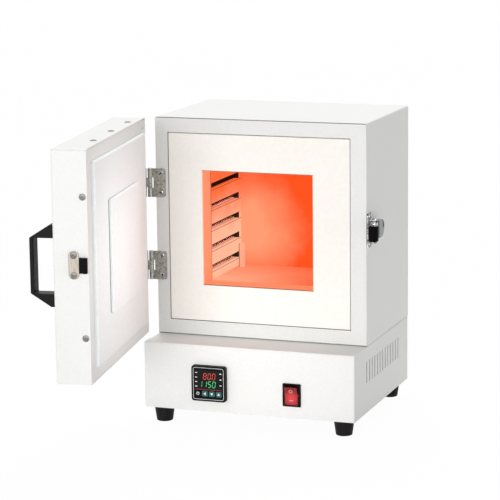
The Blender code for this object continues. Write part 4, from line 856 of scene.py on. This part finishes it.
# The roller's rubber is harder and blacker than that of the feet.
hard_rubber = surface("hard_black_rubber", "#010101", "#040404", 1.0, (0.5, 0.65), 0.03, shine=0.06)
made = piece("black_roller", roller, hard_rubber, "latch_wheel")
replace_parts(made, "latch_roller")
catch_sheet = 0.0015
catch_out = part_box("body_shell")[1].x + FIT_GAP + catch_sheet
seats = [stand((catch_out, casing_front + 0.009, latch_z + z), (1, 0, 0)) for z in (-0.0185, 0.0185)]
screws("catch_screws", seats, 0.0036, 0.0014, nickel, "kiln")


# Floor and light
# A white sweep under an even white sky, with a soft box low in front, a broad lamp over the back for
# the top, and two narrow lamps that fill the inside of the door and the front of the base.
def seen_directly(tree):
    """1 for rays that show a surface in the picture or in a mirror, and 0 for rays that only light."""
    path = add(tree, "ShaderNodeLightPath").outputs
    direct = maths(tree, "MAXIMUM", path["Is Camera Ray"], path["Is Glossy Ray"])
    return maths(tree, "MAXIMUM", direct, path["Is Transmission Ray"])


floor_mesh = bpy.data.meshes.new("floor")
bm = bmesh.new()
bmesh.ops.create_grid(bm, x_segments=1, y_segments=1, size=6.0)
bm.to_mesh(floor_mesh)
bm.free()
paper = bpy.data.materials.new("white_paper")
paper.use_nodes = True
tree = paper.node_tree
sheet = tree.nodes["Principled BSDF"]
sheet.inputs["Base Color"].default_value = linear("#F0F0F0")
sheet.inputs["Roughness"].default_value = 0.9
white = add(tree, "ShaderNodeEmission", {"Color": (1.0, 1.0, 1.0, 1.0), "Strength": 1.0})
share = maths(tree, "MULTIPLY", seen_directly(tree), 0.97)
both = {"Fac": share, 1: sheet.outputs["BSDF"], 2: white.outputs["Emission"]}
mixed = add(tree, "ShaderNodeMixShader", both)
tree.links.new(mixed.outputs["Shader"], tree.nodes["Material Output"].inputs["Surface"])
floor_mesh.materials.append(paper)
floor = bpy.data.objects.new("floor", floor_mesh)
bpy.context.scene.collection.objects.link(floor)

sky = bpy.data.worlds.new("white_sky")
bpy.context.scene.world = sky
sky.use_nodes = True
tree = sky.node_tree
even_light = tree.nodes["Background"]
even_light.inputs["Color"].default_value = (1.0, 1.0, 1.0, 1.0)
strength = ranged(tree, seen_directly(tree), (0.0, 1.0), (0.38, 1.0))
tree.links.new(strength, even_light.inputs["Strength"])

top_lamp = bpy.data.lights.new("top_lamp", "SUN")
top_lamp.energy = 2.15
top_lamp.angle = math.radians(30)
soft_box = bpy.data.lights.new("soft_box", "AREA")
soft_box.energy = 285.0
soft_box.size = 2.8
door_lamp = bpy.data.lights.new("door_lamp", "SPOT")
door_lamp.energy = 19.0
door_lamp.spot_size = math.radians(21)
door_lamp.spot_blend = 0.7
door_lamp.shadow_soft_size = 0.12
base_lamp = bpy.data.lights.new("base_lamp", "SPOT")
base_lamp.energy = 29.0
base_lamp.spot_size = math.radians(12.5)
base_lamp.spot_blend = 0.8
base_lamp.shadow_soft_size = 0.15
for light, point, aim in (
    (top_lamp, (-0.2, 1.1, 1.7), (0.0, 0.0, 0.0)),
    (soft_box, (-0.28, -7.0, 0.50), (0.0, 0.0, 0.2)),
    (door_lamp, (0.9, -0.2, 0.34), (-0.11, -0.14, 0.26)),
    (base_lamp, (0.25, -1.3, 0.16), (0.05, -0.1, 0.038)),
):
    holder = bpy.data.objects.new(light.name, light)
    holder.location = point
    holder.rotation_mode = "QUATERNION"
    holder.rotation_quaternion = (Vector(point) - Vector(aim)).to_track_quat("Z", "Y")
    holder.visible_camera = False
    bpy.context.scene.collection.objects.link(holder)


# Camera
# A long lens at the photograph's place: a little to the right of the kiln and above it.
lens = bpy.data.cameras.new("camera")
lens.sensor_width = 36.0
lens.lens = 160.42
camera = bpy.data.objects.new("camera", lens)
yaw, pitch, roll = 0.3467, 0.1870, -0.0116
camera.matrix_world = (
    Matrix.Translation((0.995655, -2.691693, 0.785605))
    @ Matrix.Rotation(yaw, 4, "Z")
    @ Matrix.Rotation(math.pi / 2 - pitch, 4, "X")
    @ Matrix.Rotation(roll, 4, "Z")
)
bpy.context.scene.collection.objects.link(camera)
bpy.context.scene.camera = camera
